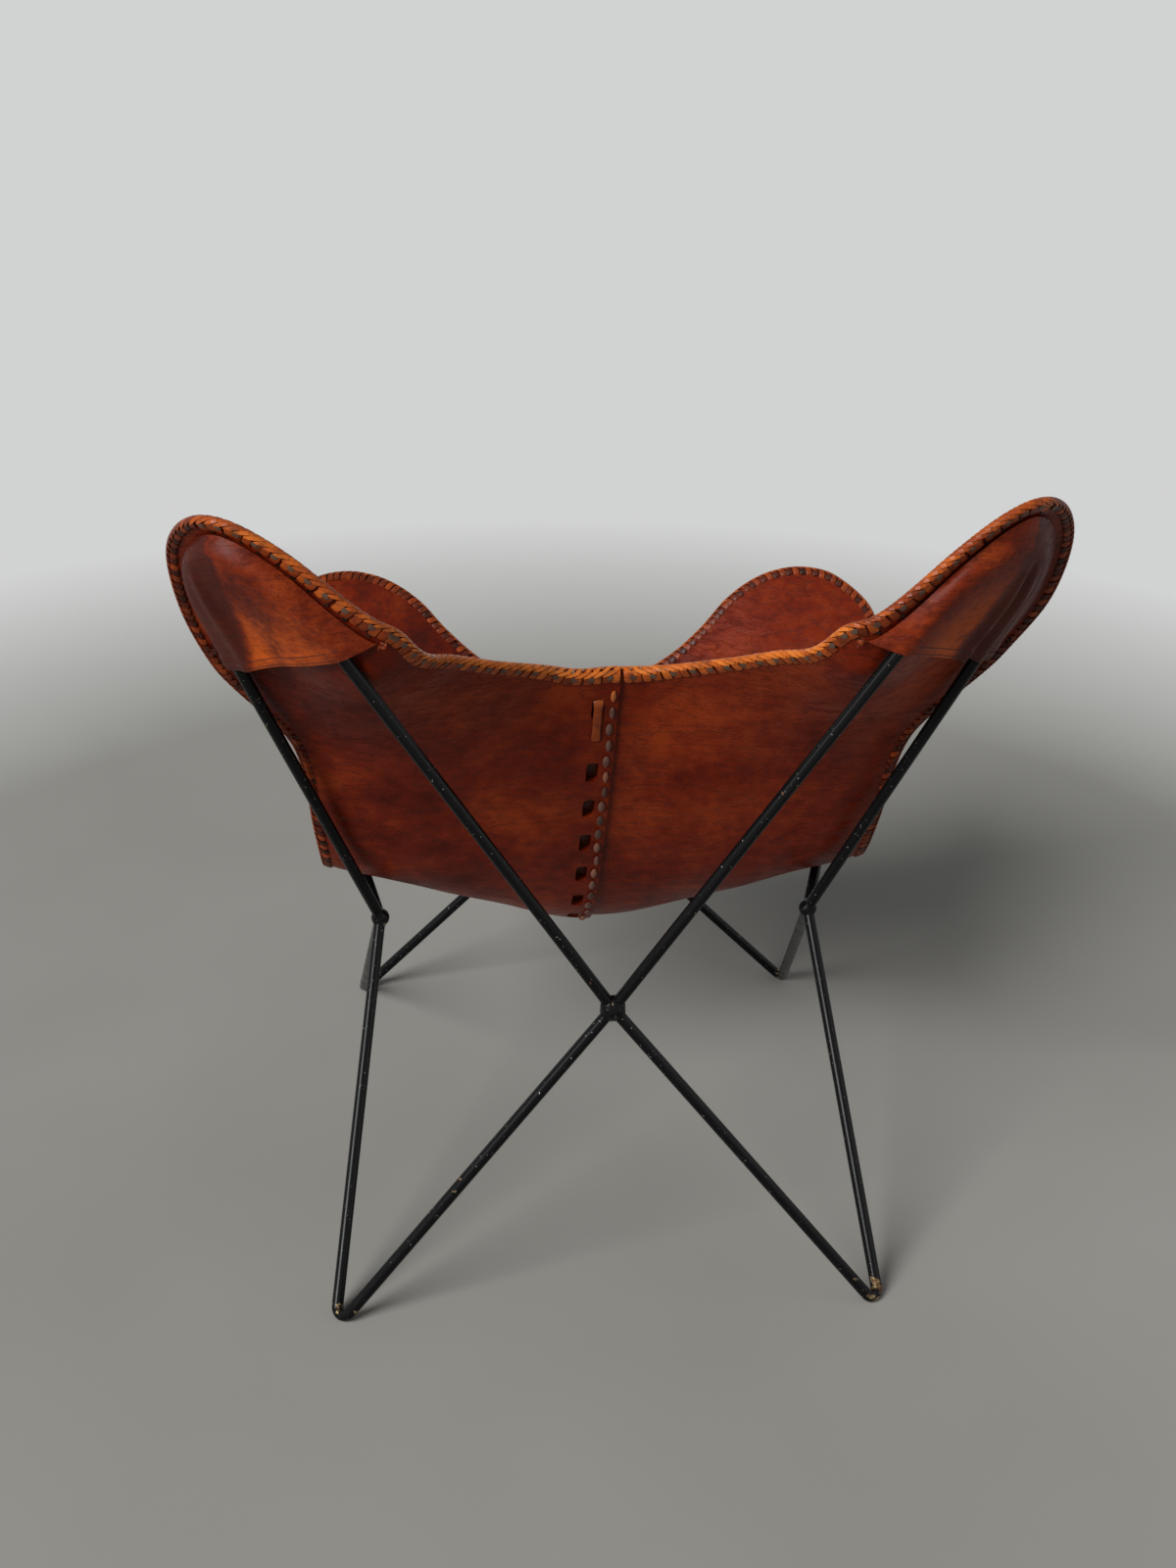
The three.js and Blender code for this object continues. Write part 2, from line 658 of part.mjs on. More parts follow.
class Half {
  constructor(side, step_aside) {
    this.side = side;
    this.step_aside = step_aside;
    const front_rim = ear_rim(ears.front, side).map(on_chart).reverse();
    const front_bend = front_rim[ear_counts];
    const places = [
      this.beside_seam(back_edge_place.along, -half_overlap),
      this.beside_seam(back_edge_place.along, half_overlap),
      ...back_edge_points.map(on_chart),
      ...ear_rim(ears.back, side).map(on_chart),
      ...waist_back_points.map(on_chart).reverse(),
      on_chart(waist),
      ...waist_front_points.map(on_chart),
      ...front_rim,
      { across: front_bend.across / 2, along: (front_bend.along + front_edge_place.along) / 2 },
      this.beside_seam(front_edge_place.along, half_overlap),
      this.beside_seam(front_edge_place.along, -half_overlap),
    ];
    this.outline = new THREE.CatmullRomCurve3(
      places.map(({ across, along }) => new THREE.Vector3(across, along, 0)), false, 'centripetal');
    this.stations = this.rim_counts().map((count) => ({
      count,
      rim: this.rim_at(count),
      ring: this.inset_at(count, lace_cover),
      outwards: this.outwards_at(count),
    }));
    for (const [index, count] of [[0, 0], [1, 1]]) {
      const last = this.stations.length - 1 - index;
      this.stations[index].ring = this.on_band(count, 0);
      this.stations[last].ring = this.on_band(count, panel_rows);
    }
  }

  // Chart place beside the seam, in the overlap's band
  beside_seam(along, offset) {
    return { across: this.side * seam_at(along) + offset, along };
  }

  // Chart place on the near edge (0) or the far edge (1) of the overlap's band
  on_band(column, row) {
    const place_on_band = this.beside_seam(band_along(row), (column * 2 - 1) * half_overlap);
    return new THREE.Vector3(place_on_band.across, place_on_band.along, 0);
  }

  shift_at(across, along) {
    return overlap_shift(this.side * across, along);
  }

  // A point of this half, lifted off the sheet
  at({ x, y }, lift) {
    const point = sling_point(x, y, lift);
    point.x *= this.side;
    return point;
  }

  rim_at(count) {
    return this.outline.getPoint(THREE.MathUtils.clamp(count / outline_end, 0, 1));
  }

  outwards_at(count) {
    const small = 1 / panel_rows;
    const before = this.rim_at(count - small);
    const after = this.rim_at(count + small);
    const line = sling_point(after.x, after.y, 0).sub(sling_point(before.x, before.y, 0));
    const here = this.rim_at(count);
    return new THREE.Vector3().crossVectors(normal_at(here.x, here.y), line).normalize();
  }

  // Chart place at a distance in from the rim
  inset_at(count, distance) {
    const here = this.rim_at(count);
    const point = sling_point(here.x, here.y, 0).addScaledVector(this.outwards_at(count), -distance);
    const { across, along } = on_chart(point);
    return new THREE.Vector3(across, along, 0);
  }

  rim_counts() {
    const counts = [];
    for (let column = 0; column < panel_columns; column++) {
      counts.push(this.column_count(column, back_tip));
    }
    for (let row = 0; row < panel_rows; row++) {
      counts.push(back_tip + (front_tip - back_tip) * row / panel_rows);
    }
    for (let column = panel_columns; column >= 0; column--) {
      counts.push(outline_end - this.column_count(column, outline_end - front_tip));
    }
    return counts;
  }

  // The first column is the band; the others share out the rest of the way to the tip
  column_count(column, tip) {
    const share = (column - band_columns) / (panel_columns - band_columns);
    return column === 0 ? 0 : band_columns + (tip - band_columns) * share;
  }

  // Chart place inside the ring of stations: blended from its four sides
  inner_place(column, row) {
    if (column <= 1) {
      return this.on_band(column, row);
    }
    const across_share = (column - 1) / (panel_columns - 1);
    const along_share = row / panel_rows;
    const last = this.stations.length - 1;
    return this.on_band(1, row).multiplyScalar(1 - across_share)
      .addScaledVector(this.stations[panel_columns + row].ring, across_share)
      .addScaledVector(this.stations[column].ring, 1 - along_share)
      .addScaledVector(this.stations[last - column].ring, along_share)
      .addScaledVector(this.on_band(1, 0), -(1 - across_share) * (1 - along_share))
      .addScaledVector(this.on_band(1, panel_rows), -(1 - across_share) * along_share)
      .addScaledVector(this.stations[panel_columns].ring, -across_share * (1 - along_share))
      .addScaledVector(this.stations[last - panel_columns].ring, -across_share * along_share);
  }

  panel() {
    const chart_places = [];
    const triangles = [];
    const at = (column, row) => row * (panel_columns + 1) + column;
    for (let row = 0; row <= panel_rows; row++) {
      for (let column = 0; column <= panel_columns; column++) {
        chart_places.push(this.inner_place(column, row));
      }
    }
    for (const station of this.stations) chart_places.push(station.rim);
    const middles = chart_places.map((here) => this.at(here, 0));
    for (let row = 0; row < panel_rows; row++) {
      for (let column = 0; column < panel_columns; column++) {
        triangles.push(...split(middles,
          at(column, row), at(column + 1, row), at(column + 1, row + 1), at(column, row + 1)));
      }
    }
    const ring = [];
    for (let column = 0; column < panel_columns; column++) {
      ring.push(at(column, 0));
    }
    for (let row = 0; row < panel_rows; row++) {
      ring.push(at(panel_columns, row));
    }
    for (let column = panel_columns; column >= 0; column--) {
      ring.push(at(column, panel_rows));
    }
    const rim = ring.map((_, index) => at(0, panel_rows + 1) + index);
    ring.forEach((here, index) => {
      if (index === 0) {
        return;
      }
      triangles.push(...split(middles, here, ring[index - 1], rim[index - 1], rim[index]));
    });
    const places = chart_places.map((here) => {
      const middle = this.step_aside * this.shift_at(here.x, here.y);
      return { low: this.at(here, middle - half_leather), high: this.at(here, middle + half_leather) };
    });
    return thicken(places, triangles);
  }

  // Section of the lacing at a station: a channel over the edge of the leather
  lace_section(station) {
    const { rim, ring, outwards } = station;
    const facing = outwards.clone();
    facing.x *= this.side;
    const rim_inner = half_leather + this.shift_at(rim.x, rim.y) + lace_gap;
    const ring_inner = half_leather + this.shift_at(ring.x, ring.y) + lace_gap;
    const round = (rim_inner + lace_thickness) * lace_round_share;
    const past = (lift, distance) => this.at(rim, lift).addScaledVector(facing, distance);
    return [
      this.at(ring, ring_inner),
      this.at(ring, ring_inner + lace_thickness),
      past(rim_inner + lace_thickness, 0),
      past(round, lace_gap + lace_thickness),
      past(-round, lace_gap + lace_thickness),
      past(-rim_inner - lace_thickness, 0),
      this.at(ring, -ring_inner - lace_thickness),
      this.at(ring, -ring_inner),
      past(-rim_inner, lace_gap),
      past(rim_inner, lace_gap),
    ];
  }

  // Number of the station nearest a count on the outline
  station_near(count) {
    const distances = this.stations.map((station) => Math.abs(station.count - count));
    return distances.indexOf(Math.min(...distances));
  }

  sections(from_count, to_count) {
    return this.stations
      .slice(this.station_near(from_count), this.station_near(to_count) + 1)
      .map((station) => this.lace_section(station));
  }

  // Pocket over an ear: from the rim up over the rod, then flat to the rod on its other side.
  // Counts on the ear and on the outline run the same way (1) or opposite ways (-1).
  pocket(ear, [first_count, last_count], inner_mouth, way) {
    const wrap_radius = rod_radius + pocket_rod_gap + pocket_thickness / 2;
    const rim_lift = half_leather + pocket_rim_gap + pocket_thickness / 2;
    const half_wall = pocket_thickness / 2;
    const places = [];
    const triangles = [];
    const mirror = (point) => point.setX(point.x * this.side);
    const add_place = (point, outwards) => {
      places.push({
        low: mirror(point.clone().addScaledVector(outwards, half_wall)),
        high: mirror(point.clone().addScaledVector(outwards, -half_wall)),
      });
      return places.length - 1;
    };
    const columns = [];
    const tops = [];
    for (let column = 0; column <= pocket_columns; column++) {
      const share = column / pocket_columns;
      const count = first_count + (last_count - first_count) * share;
      const rim = this.inset_at(inner_mouth + way * count, pocket_inset);
      const rim_point = sling_point(rim.x, rim.y, -rim_lift);
      const { point: centre, facing } = ear_place(ear, count);
      const backwards = facing.negate();
      const to_rim = rim_point.clone().sub(centre);
      const height = to_rim.dot(backwards);
      const outwards = to_rim.clone().addScaledVector(backwards, -height);
      const width = outwards.length();
      outwards.normalize();
      const tangent_turn = Math.acos(Math.min(wrap_radius / Math.hypot(width, height), 1));
      const touch = Math.atan2(width, height) - tangent_turn;
      const around = (turn) => backwards.clone().multiplyScalar(Math.cos(turn))
        .addScaledVector(outwards, Math.sin(turn));
      columns.push([
        add_place(rim_point, normal_at(rim.x, rim.y).negate()),
        ...wrap_shares.map((wrap) => add_place(
          centre.clone().addScaledVector(around(touch * wrap), wrap_radius), around(touch * wrap))),
      ]);
      tops.push(centre.clone().addScaledVector(backwards, wrap_radius));
    }
    for (let column = 1; column <= pocket_columns; column++) {
      for (let index = 1; index < columns[column].length; index++) {
        const [a, b] = [columns[column - 1][index - 1], columns[column - 1][index]];
        const [d, c] = [columns[column][index - 1], columns[column][index]];
        triangles.push([a, d, c], [a, c, b]);
      }
    }
    const tip = pocket_columns / 2;
    const top = (column) => columns[column][wrap_shares.length];
    const rungs = [];
    for (let column = 0; column < tip; column++) {
      const other = pocket_columns - column;
      const sag = pocket_sag_share * tops[column].distanceTo(tops[other]);
      const rung = [top(column)];
      for (let step = 1; step < pocket_rungs; step++) {
        const share = step / pocket_rungs;
        const point = tops[column].clone().lerp(tops[other], share)
          .addScaledVector(ear.facing, sag * Math.sin(Math.PI * share));
        rung.push(add_place(point, ear.facing.clone().negate()));
      }
      rung.push(top(other));
      rungs.push(rung);
    }
    for (let column = 1; column < tip; column++) {
      for (let step = 0; step < pocket_rungs; step++) {
        const [a, b] = [rungs[column - 1][step], rungs[column - 1][step + 1]];
        const [d, c] = [rungs[column][step], rungs[column][step + 1]];
        triangles.push([a, d, c], [a, c, b]);
      }
    }
    for (let step = 0; step < pocket_rungs; step++) {
      triangles.push([rungs[tip - 1][step], top(tip), rungs[tip - 1][step + 1]]);
    }
    return thicken(places, triangles);
  }
}

const halves = { left: new Half(1, -1), right: new Half(-1, 1) };

// Lacing in stretches. A stretch ends a little short of the next one.

const lace_outline = [
  [1, 1], [1, 2], [0, 2], [-2, 1], [-2, -1], [0, -2], [1, -2], [1, -1], [-1, -1], [-1, 1],
].map(([x, y]) => new THREE.Vector2(x, y));

function shortened(end, next) {
  const share = lace_joint_gap / 2 / end[0].distanceTo(next[0]);
  return end.map((point, index) => point.clone().lerp(next[index], share));
}

function lace(name, sections) {
  const rings = sections.slice();
  rings[0] = shortened(sections[0], sections[1]);
  rings[rings.length - 1] = shortened(sections[sections.length - 1], sections[sections.length - 2]);
  add(name, loft(rings, lace_outline), lace_leather);
}

// Sections of the right half up to the seam, then those of the left half
function across_seam(left_sections, right_sections) {
  const seam_x = left_sections[0][0].x;
  const before_seam = right_sections.filter((section) => section[0].x < seam_x - half_overlap / 2);
  return [...before_seam.reverse(), ...left_sections];
}

lace('edge_lacing_back', across_seam(
  halves.left.sections(0, back_inner_mouth), halves.right.sections(0, back_inner_mouth)));
lace('edge_lacing_front', across_seam(
  halves.left.sections(front_inner_mouth, outline_end).reverse(),
  halves.right.sections(front_inner_mouth, outline_end).reverse()));
for (const [name, half] of Object.entries(halves)) {
  lace(`edge_lacing_back_ear_${name}`, half.sections(back_inner_mouth, back_outer_mouth));
  lace(`edge_lacing_side_${name}`, half.sections(back_outer_mouth, front_outer_mouth));
  lace(`edge_lacing_front_ear_${name}`, half.sections(front_outer_mouth, front_inner_mouth));
  const back_pocket = half.pocket(ears.back, back_pocket_counts, back_inner_mouth, 1);
  add(`back_pocket_${name}`, back_pocket, pocket_leather);
  const front_pocket = half.pocket(ears.front, front_pocket_counts, front_inner_mouth, -1);
  add(`front_pocket_${name}`, front_pocket, pocket_leather);
}

// Spine: places down the seam, by their distance from the back edge along the leather

function band_row(along) {
  const left = sling_point(seam_at(along) + half_overlap, along, 0);
  const right = sling_point(seam_at(along) - half_overlap, along, 0);
  return { middle: left.clone().lerp(right, 0.5), across: left.sub(right).normalize(), travelled: 0 };
}

const band_alongs = [back_edge_place.along];
for (let row = 0; row <= panel_rows; row++) {
  band_alongs.push(band_along(row));
}
band_alongs.push(front_edge_place.along);
const band_rows = band_alongs.map(band_row);
for (let row = 1; row < band_rows.length; row++) {
  const step = band_rows[row].middle.distanceTo(band_rows[row - 1].middle);
  band_rows[row].travelled = band_rows[row - 1].travelled + step;
}

// Axes of the leather at a place on the seam: across, down the seam and towards the sitter
function spine_frame(travelled, offset, lift) {
  const found = band_rows.findIndex((row) => row.travelled > travelled);
  const after = band_rows[found < 0 ? band_rows.length - 1 : Math.max(found, 1)];
  const before = band_rows[band_rows.indexOf(after) - 1];
  const share = (travelled - before.travelled) / (after.travelled - before.travelled);
  const across = before.across.clone().lerp(after.across, share).normalize();
  const down = after.middle.clone().sub(before.middle).normalize();
  const normal = new THREE.Vector3().crossVectors(down, across).normalize();
  const point = before.middle.clone().lerp(after.middle, share)
    .addScaledVector(across, offset)
    .addScaledVector(normal, lift);
  return { point, across, down, normal };
}

// Panels, cut with a row of slots

const slots = [tail_slot_place];
for (let slot = 0; slot < slot_count; slot++) {
  slots.push(slot_first + slot_pitch * slot);
}
const slot_cuts = slots.map((travelled) => {
  const { point, across, down, normal } = spine_frame(travelled, 0, 0);
  const cut = new THREE.BoxGeometry(slot_width, leather_thickness * 4, slot_length);
  cut.applyMatrix4(new THREE.Matrix4().makeBasis(across, normal, down).setPosition(point));
  return solid(cut);
});
for (const [name, half] of Object.entries(halves)) {
  const panel = slot_cuts.reduce((leather, cut) => leather.subtract(cut), solid(half.panel()));
  add(`sling_panel_${name}`, geometry_of(panel), saddle_leather);
}

// Strap: down the sitter's side of the seam, with its tail folded out through the first slot

const strap_lift = leather_thickness + fit_gap / 2 + strap_gap + strap_thickness / 2;
const fold_place = tail_slot_place + slot_length / 2 - strap_thickness;

function strap_ring(travelled, lift, lean) {
  const { point, across, down, normal } = spine_frame(travelled, 0, lift);
  const rise = normal.clone().multiplyScalar(Math.cos(lean)).addScaledVector(down, -Math.sin(lean));
  return [[-1, -1], [1, -1], [1, 1], [-1, 1]].map(([x, y]) => point.clone()
    .addScaledVector(across, x * strap_width / 2)
    .addScaledVector(rise, y * strap_thickness / 2));
}

const strap_rings = [];
const strap_end = slots[slots.length - 1] + strap_end_length;
for (let step = 0; step < strap_steps; step++) {
  strap_rings.push(strap_ring(strap_end + (fold_place - strap_end) * step / strap_steps, strap_lift, 0));
}
for (let step = 0; step <= fold_steps; step++) {
  const turn = Math.PI * step / fold_steps;
  const travelled = fold_place - strap_lift * Math.sin(turn);
  strap_rings.push(strap_ring(travelled, strap_lift * Math.cos(turn), turn));
}
for (let step = 1; step <= tail_steps; step++) {
  const travelled = fold_place + strap_tail_length * step / tail_steps;
  strap_rings.push(strap_ring(travelled, -strap_lift, Math.PI));
}
const strap_outline = [[-1, -1], [1, -1], [1, 1], [-1, 1]].map(([x, y]) => new THREE.Vector2(x, y));
add('spine_strap', loft(strap_rings, strap_outline), thong_leather);

// Stitching: a cord of long stitches beside the edge of the outer panel

const cord_shape = [];
for (let side = 0; side < stitch_sides; side++) {
  const turn = 2 * Math.PI * side / stitch_sides;
  cord_shape.push(new THREE.Vector2(Math.cos(turn) / 2, Math.sin(turn) / 2));
}
const stitch_lift = leather_thickness + fit_gap / 2 + stitch_gap + stitch_thickness / 2;

function stitch_ring(travelled, size_share) {
  const { point, across, normal } = spine_frame(travelled, stitch_inset - half_overlap, -stitch_lift);
  return cord_shape.map(({ x, y }) => point.clone()
    .addScaledVector(across, x * stitch_width * size_share)
    .addScaledVector(normal, y * stitch_thickness * size_share));
}

const stitch_rings = [];
for (let stitch = 0; stitch < stitch_count; stitch++) {
  const start = stitch_first + stitch_pitch * stitch;
  const length = stitch_pitch * stitch_length_share;
  stitch_rings.push(stitch_ring(start, stitch_neck_share));
  stitch_rings.push(stitch_ring(start + length / 4, 1));
  stitch_rings.push(stitch_ring(start + length * 3 / 4, 1));
  stitch_rings.push(stitch_ring(start + length, stitch_neck_share));
}
add('spine_stitching', loft(stitch_rings, cord_shape), waxed_cord);

// Rests the chair on the floor with its origin under the middle of its box
const box = new THREE.Box3().setFromObject(chair);
const middle = box.getCenter(new THREE.Vector3());
chair.position.set(-middle.x, -middle.y, -box.min.z);
chair.updateMatrixWorld(true);

export default chair;
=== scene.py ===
"""Butterfly sling chair: a bent rod frame and a laced leather sling in two overlapping halves."""

import logging
import math
import random
from dataclasses import dataclass
from enum import Enum

import bmesh
import bpy
import numpy as np
from mathutils import Matrix, Vector


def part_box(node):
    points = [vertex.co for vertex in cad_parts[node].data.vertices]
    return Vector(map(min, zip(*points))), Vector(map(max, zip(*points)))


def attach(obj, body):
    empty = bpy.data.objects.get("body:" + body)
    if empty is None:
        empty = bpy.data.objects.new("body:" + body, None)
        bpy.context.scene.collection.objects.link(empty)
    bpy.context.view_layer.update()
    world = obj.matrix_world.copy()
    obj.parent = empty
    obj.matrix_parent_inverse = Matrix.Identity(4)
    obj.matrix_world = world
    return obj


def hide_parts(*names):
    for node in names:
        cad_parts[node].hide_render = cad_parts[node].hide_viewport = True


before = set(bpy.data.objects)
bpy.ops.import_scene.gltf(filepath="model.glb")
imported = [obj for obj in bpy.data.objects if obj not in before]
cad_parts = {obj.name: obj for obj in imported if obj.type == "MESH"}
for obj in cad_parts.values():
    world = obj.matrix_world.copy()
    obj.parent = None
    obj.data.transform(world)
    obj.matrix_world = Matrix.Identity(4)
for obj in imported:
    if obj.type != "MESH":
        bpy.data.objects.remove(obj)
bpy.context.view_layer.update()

log = logging.getLogger("butterfly_chair")
Array = np.ndarray
Socket = bpy.types.NodeSocket
MM = 0.001
BODY = "root"
UP = np.array([0.0, 0.0, 1.0])
SEED = 7
SHARP_ANGLE = math.radians(50)
TINY = 1e-30


def place(half_width: float, depth: float, height: float) -> Array:
    """A place of the chair, in millimetres, from its middle, its back feet and the floor."""
    return np.array([half_width, -depth, height], float)


def unit(vector: Array) -> Array:
    """The vector, or each row of an array of vectors, at length one."""
    return vector / np.linalg.norm(vector, axis=-1, keepdims=True)


def smooth_step(share: Array) -> Array:
    """Eases a share from 0 to 1, held at both ends."""
    held = np.clip(share, 0.0, 1.0)
    return held * held * (3 - 2 * held)


def bump_at(value: Array, centre: float, width: float) -> Array:
    """A round bump of height one at a centre."""
    return np.exp(-(((value - centre) / width) ** 2))


def travel_along(points: Array) -> Array:
    """How far along its line each point lies, for one line or for many beside each other."""
    steps = np.linalg.norm(np.diff(points, axis=0), axis=-1)
    return np.concatenate([np.zeros((1, *steps.shape[1:])), np.cumsum(steps, axis=0)])


def points_at(where: Array, travelled: Array, line: Array) -> Array:
    """Points of a line at distances along it."""
    return np.stack([np.interp(where, travelled, one) for one in line.T], axis=-1)


# Sizes of the chair, in millimetres and degrees


@dataclass(frozen=True)
class FrameSizes:
    """The bent rod frame.

    The weld's collar has the cosine of its angle from the rod, its width and its height. The
    ground values say how much of a weld is filed away.
    """

    rod_radius: float = 6.0
    back_feet_spread: float = 566.0
    front_feet_spread: float = 552.0
    feet_depth: float = 612.0
    foot_bend_radius: float = 10.0
    foot_height: float = 5.2
    knuckle_radius: float = 13.0
    side_weld_ground: float = 3.2
    end_weld_ground: float = 0.6
    weld_collar: tuple = (0.84, 0.09, 0.9)
    ripple_turns: tuple = (17, 11, 15)
    ripple_height: float = 0.25
    back_cross: tuple = (0, 64, 337)
    front_cross: tuple = (0, 614, 278)
    side_cross: tuple = (234, 292, 305)


@dataclass
class Ear:
    """One ear of the frame and the leather round it.

    Counts run along its rod from the inner mouth of its pocket (0) over the inner shoulder (1)
    and the outer shoulder (5) to the outer mouth (6).
    """

    crossing: Array
    side_cross: Array
    inner: Array
    outer: Array
    reach: float
    margin: float
    margin_shares: tuple
    drift_shares: tuple
    curls: tuple
    inner_drop: float
    outer_drop: float
    held_counts: tuple
    drift: float = 8.0

    def __post_init__(self) -> None:
        """Works out the ear's lines and the way it faces."""
        self.inner_line = unit(self.inner - self.crossing)
        self.outer_line = unit(self.outer - self.side_cross)
        self.upwards = unit(self.inner_line + self.outer_line)
        self.facing = unit(np.cross(self.upwards, self.outer - self.inner))
        self.turn = float(np.sign(self.facing[2]))
        self.facing = self.facing * self.turn
        self.knots = (
            self.inner,
            self.inner + self.inner_line * self.reach,
            self.outer + self.outer_line * self.reach,
            self.outer,
        )

    def bend(self, share: Array) -> tuple[Array, Array]:
        """Points and directions along the bend.

        Args:
            share: how far along the bend, from the inner shoulder to the outer one.

        Returns:
            The points and their unit tangents.
        """
        t = np.asarray(share, float)[:, None]
        a, b, c, d = self.knots
        point = (1 - t) ** 3 * a + 3 * (1 - t) ** 2 * t * b + 3 * (1 - t) * t**2 * c + t**3 * d
        line = 3 * (1 - t) ** 2 * (b - a) + 6 * (1 - t) * t * (c - b) + 3 * t**2 * (d - c)
        return point, unit(line)

    def at(self, counts: Array) -> tuple[Array, Array, Array]:
        """Rod points at counts, with the way the ear faces there and the way out of it.

        Args:
            counts: places along the rod.

        Returns:
            The points, the ways the ear faces and the ways out of it.
        """
        counts = np.asarray(counts, float)
        point, line = self.bend(np.clip((counts - 1) / 4, 0, 1))
        before = np.minimum(counts - 1, 0) * self.inner_drop
        beyond = np.maximum(counts - 5, 0) * self.outer_drop
        point = point + line * (before + beyond)[:, None]
        facing = unit(self.facing - line * (line @ self.facing)[:, None])
        return point, facing, np.cross(line, facing) * self.turn

    def rim(self, side: float, lift: float) -> Array:
        """Rim of the leather round the ear: left half (1), right half (-1) or between (0).

        Args:
            side: the half, as a number.
            lift: how far the leather lies off the middle of the rod.

        Returns:
            One point for each of the seven counts.
        """
        counts = np.arange(7)
        point, facing, outwards = self.at(counts)
        reach = self.margin * np.array(self.margin_shares)
        reach = reach - side * self.drift * np.array(self.drift_shares)
        curl = np.radians(self.curls)
        out = outwards * (reach * np.cos(curl))[:, None]
        return point + out + facing * (lift - reach * np.sin(curl))[:, None]


FRAME = FrameSizes()
SIDE_CROSS = place(*FRAME.side_cross)
HELD_COUNTS = (-0.6, 0.2, 1.2, 2.1, 3, 3.9, 4.8, 5.4, 5.9)
BACK_EAR = Ear(
    crossing=place(*FRAME.back_cross),
    side_cross=SIDE_CROSS,
    inner=place(252, 48, 734),
    outer=place(369, 131, 733),
    reach=119,
    margin=45,
    margin_shares=(1, 0.76, 0.56, 0.91, 0.71, 0.87, 0.76),
    drift_shares=(0, -0.25, -0.12, 1, 0.88, 1, 0.25),
    curls=(-37, -24, -5, 10, 15, 17, 17),
    inner_drop=25,
    outer_drop=80,
    held_counts=HELD_COUNTS,
)
FRONT_EAR = Ear(
    crossing=place(*FRAME.front_cross),
    side_cross=SIDE_CROSS,
    inner=place(208, 697, 480),
    outer=place(338, 609, 458),
    reach=88,
    margin=30,
    margin_shares=(0.77, 0.8, 0.87, 1, 0.93, 0.87, 0.83),
    drift_shares=(0,) * 7,
    curls=(0, 0, 0, 2, 8, 12, 12),
    inner_drop=55,
    outer_drop=70,
    held_counts=(*HELD_COUNTS, 7.3, 8.2),
)


@dataclass(frozen=True)
class SlingSizes:
    """The leather sling: where it is held, its overlap and its edge."""

    leather: float = 3.5
    fit_gap: float = 0.3
    ear_seat_gap: float = 2.6
    overlap: float = 40.0
    overlap_ease: float = 60.0
    seam_offset_back: float = 8.0
    seam_offset_seat: float = 24.0
    back_edge: tuple = (0, 192, 640)
    seat_low: tuple = (0, 400, 243)
    front_edge: tuple = (0, 680, 388)
    seat_side: tuple = (170, 330, 316)
    waist: tuple = (290, 315, 362)
    back_profile: tuple = ((0.86, 0.76), (0.65, 0.44), (0.38, 0.14))
    front_profile: tuple = ((0.36, 0.13), (0.71, 0.54))
    back_edge_shares: tuple = ((0.22, 0.06, 0.06), (0.44, 0.30, 0.30), (0.61, 0.54, 0.54))
    waist_back: tuple = ((0.05, 0.27, 0.20), (0.20, 0.52, 0.52))
    waist_front: tuple = ((0.17, 0.28, 0.18), (0.44, 0.61, 0.58))
    middle_drop: float = 70.0
    ease_share: float = 1e-6
    chart_tilt: float = 20.0


SLING = SlingSizes()


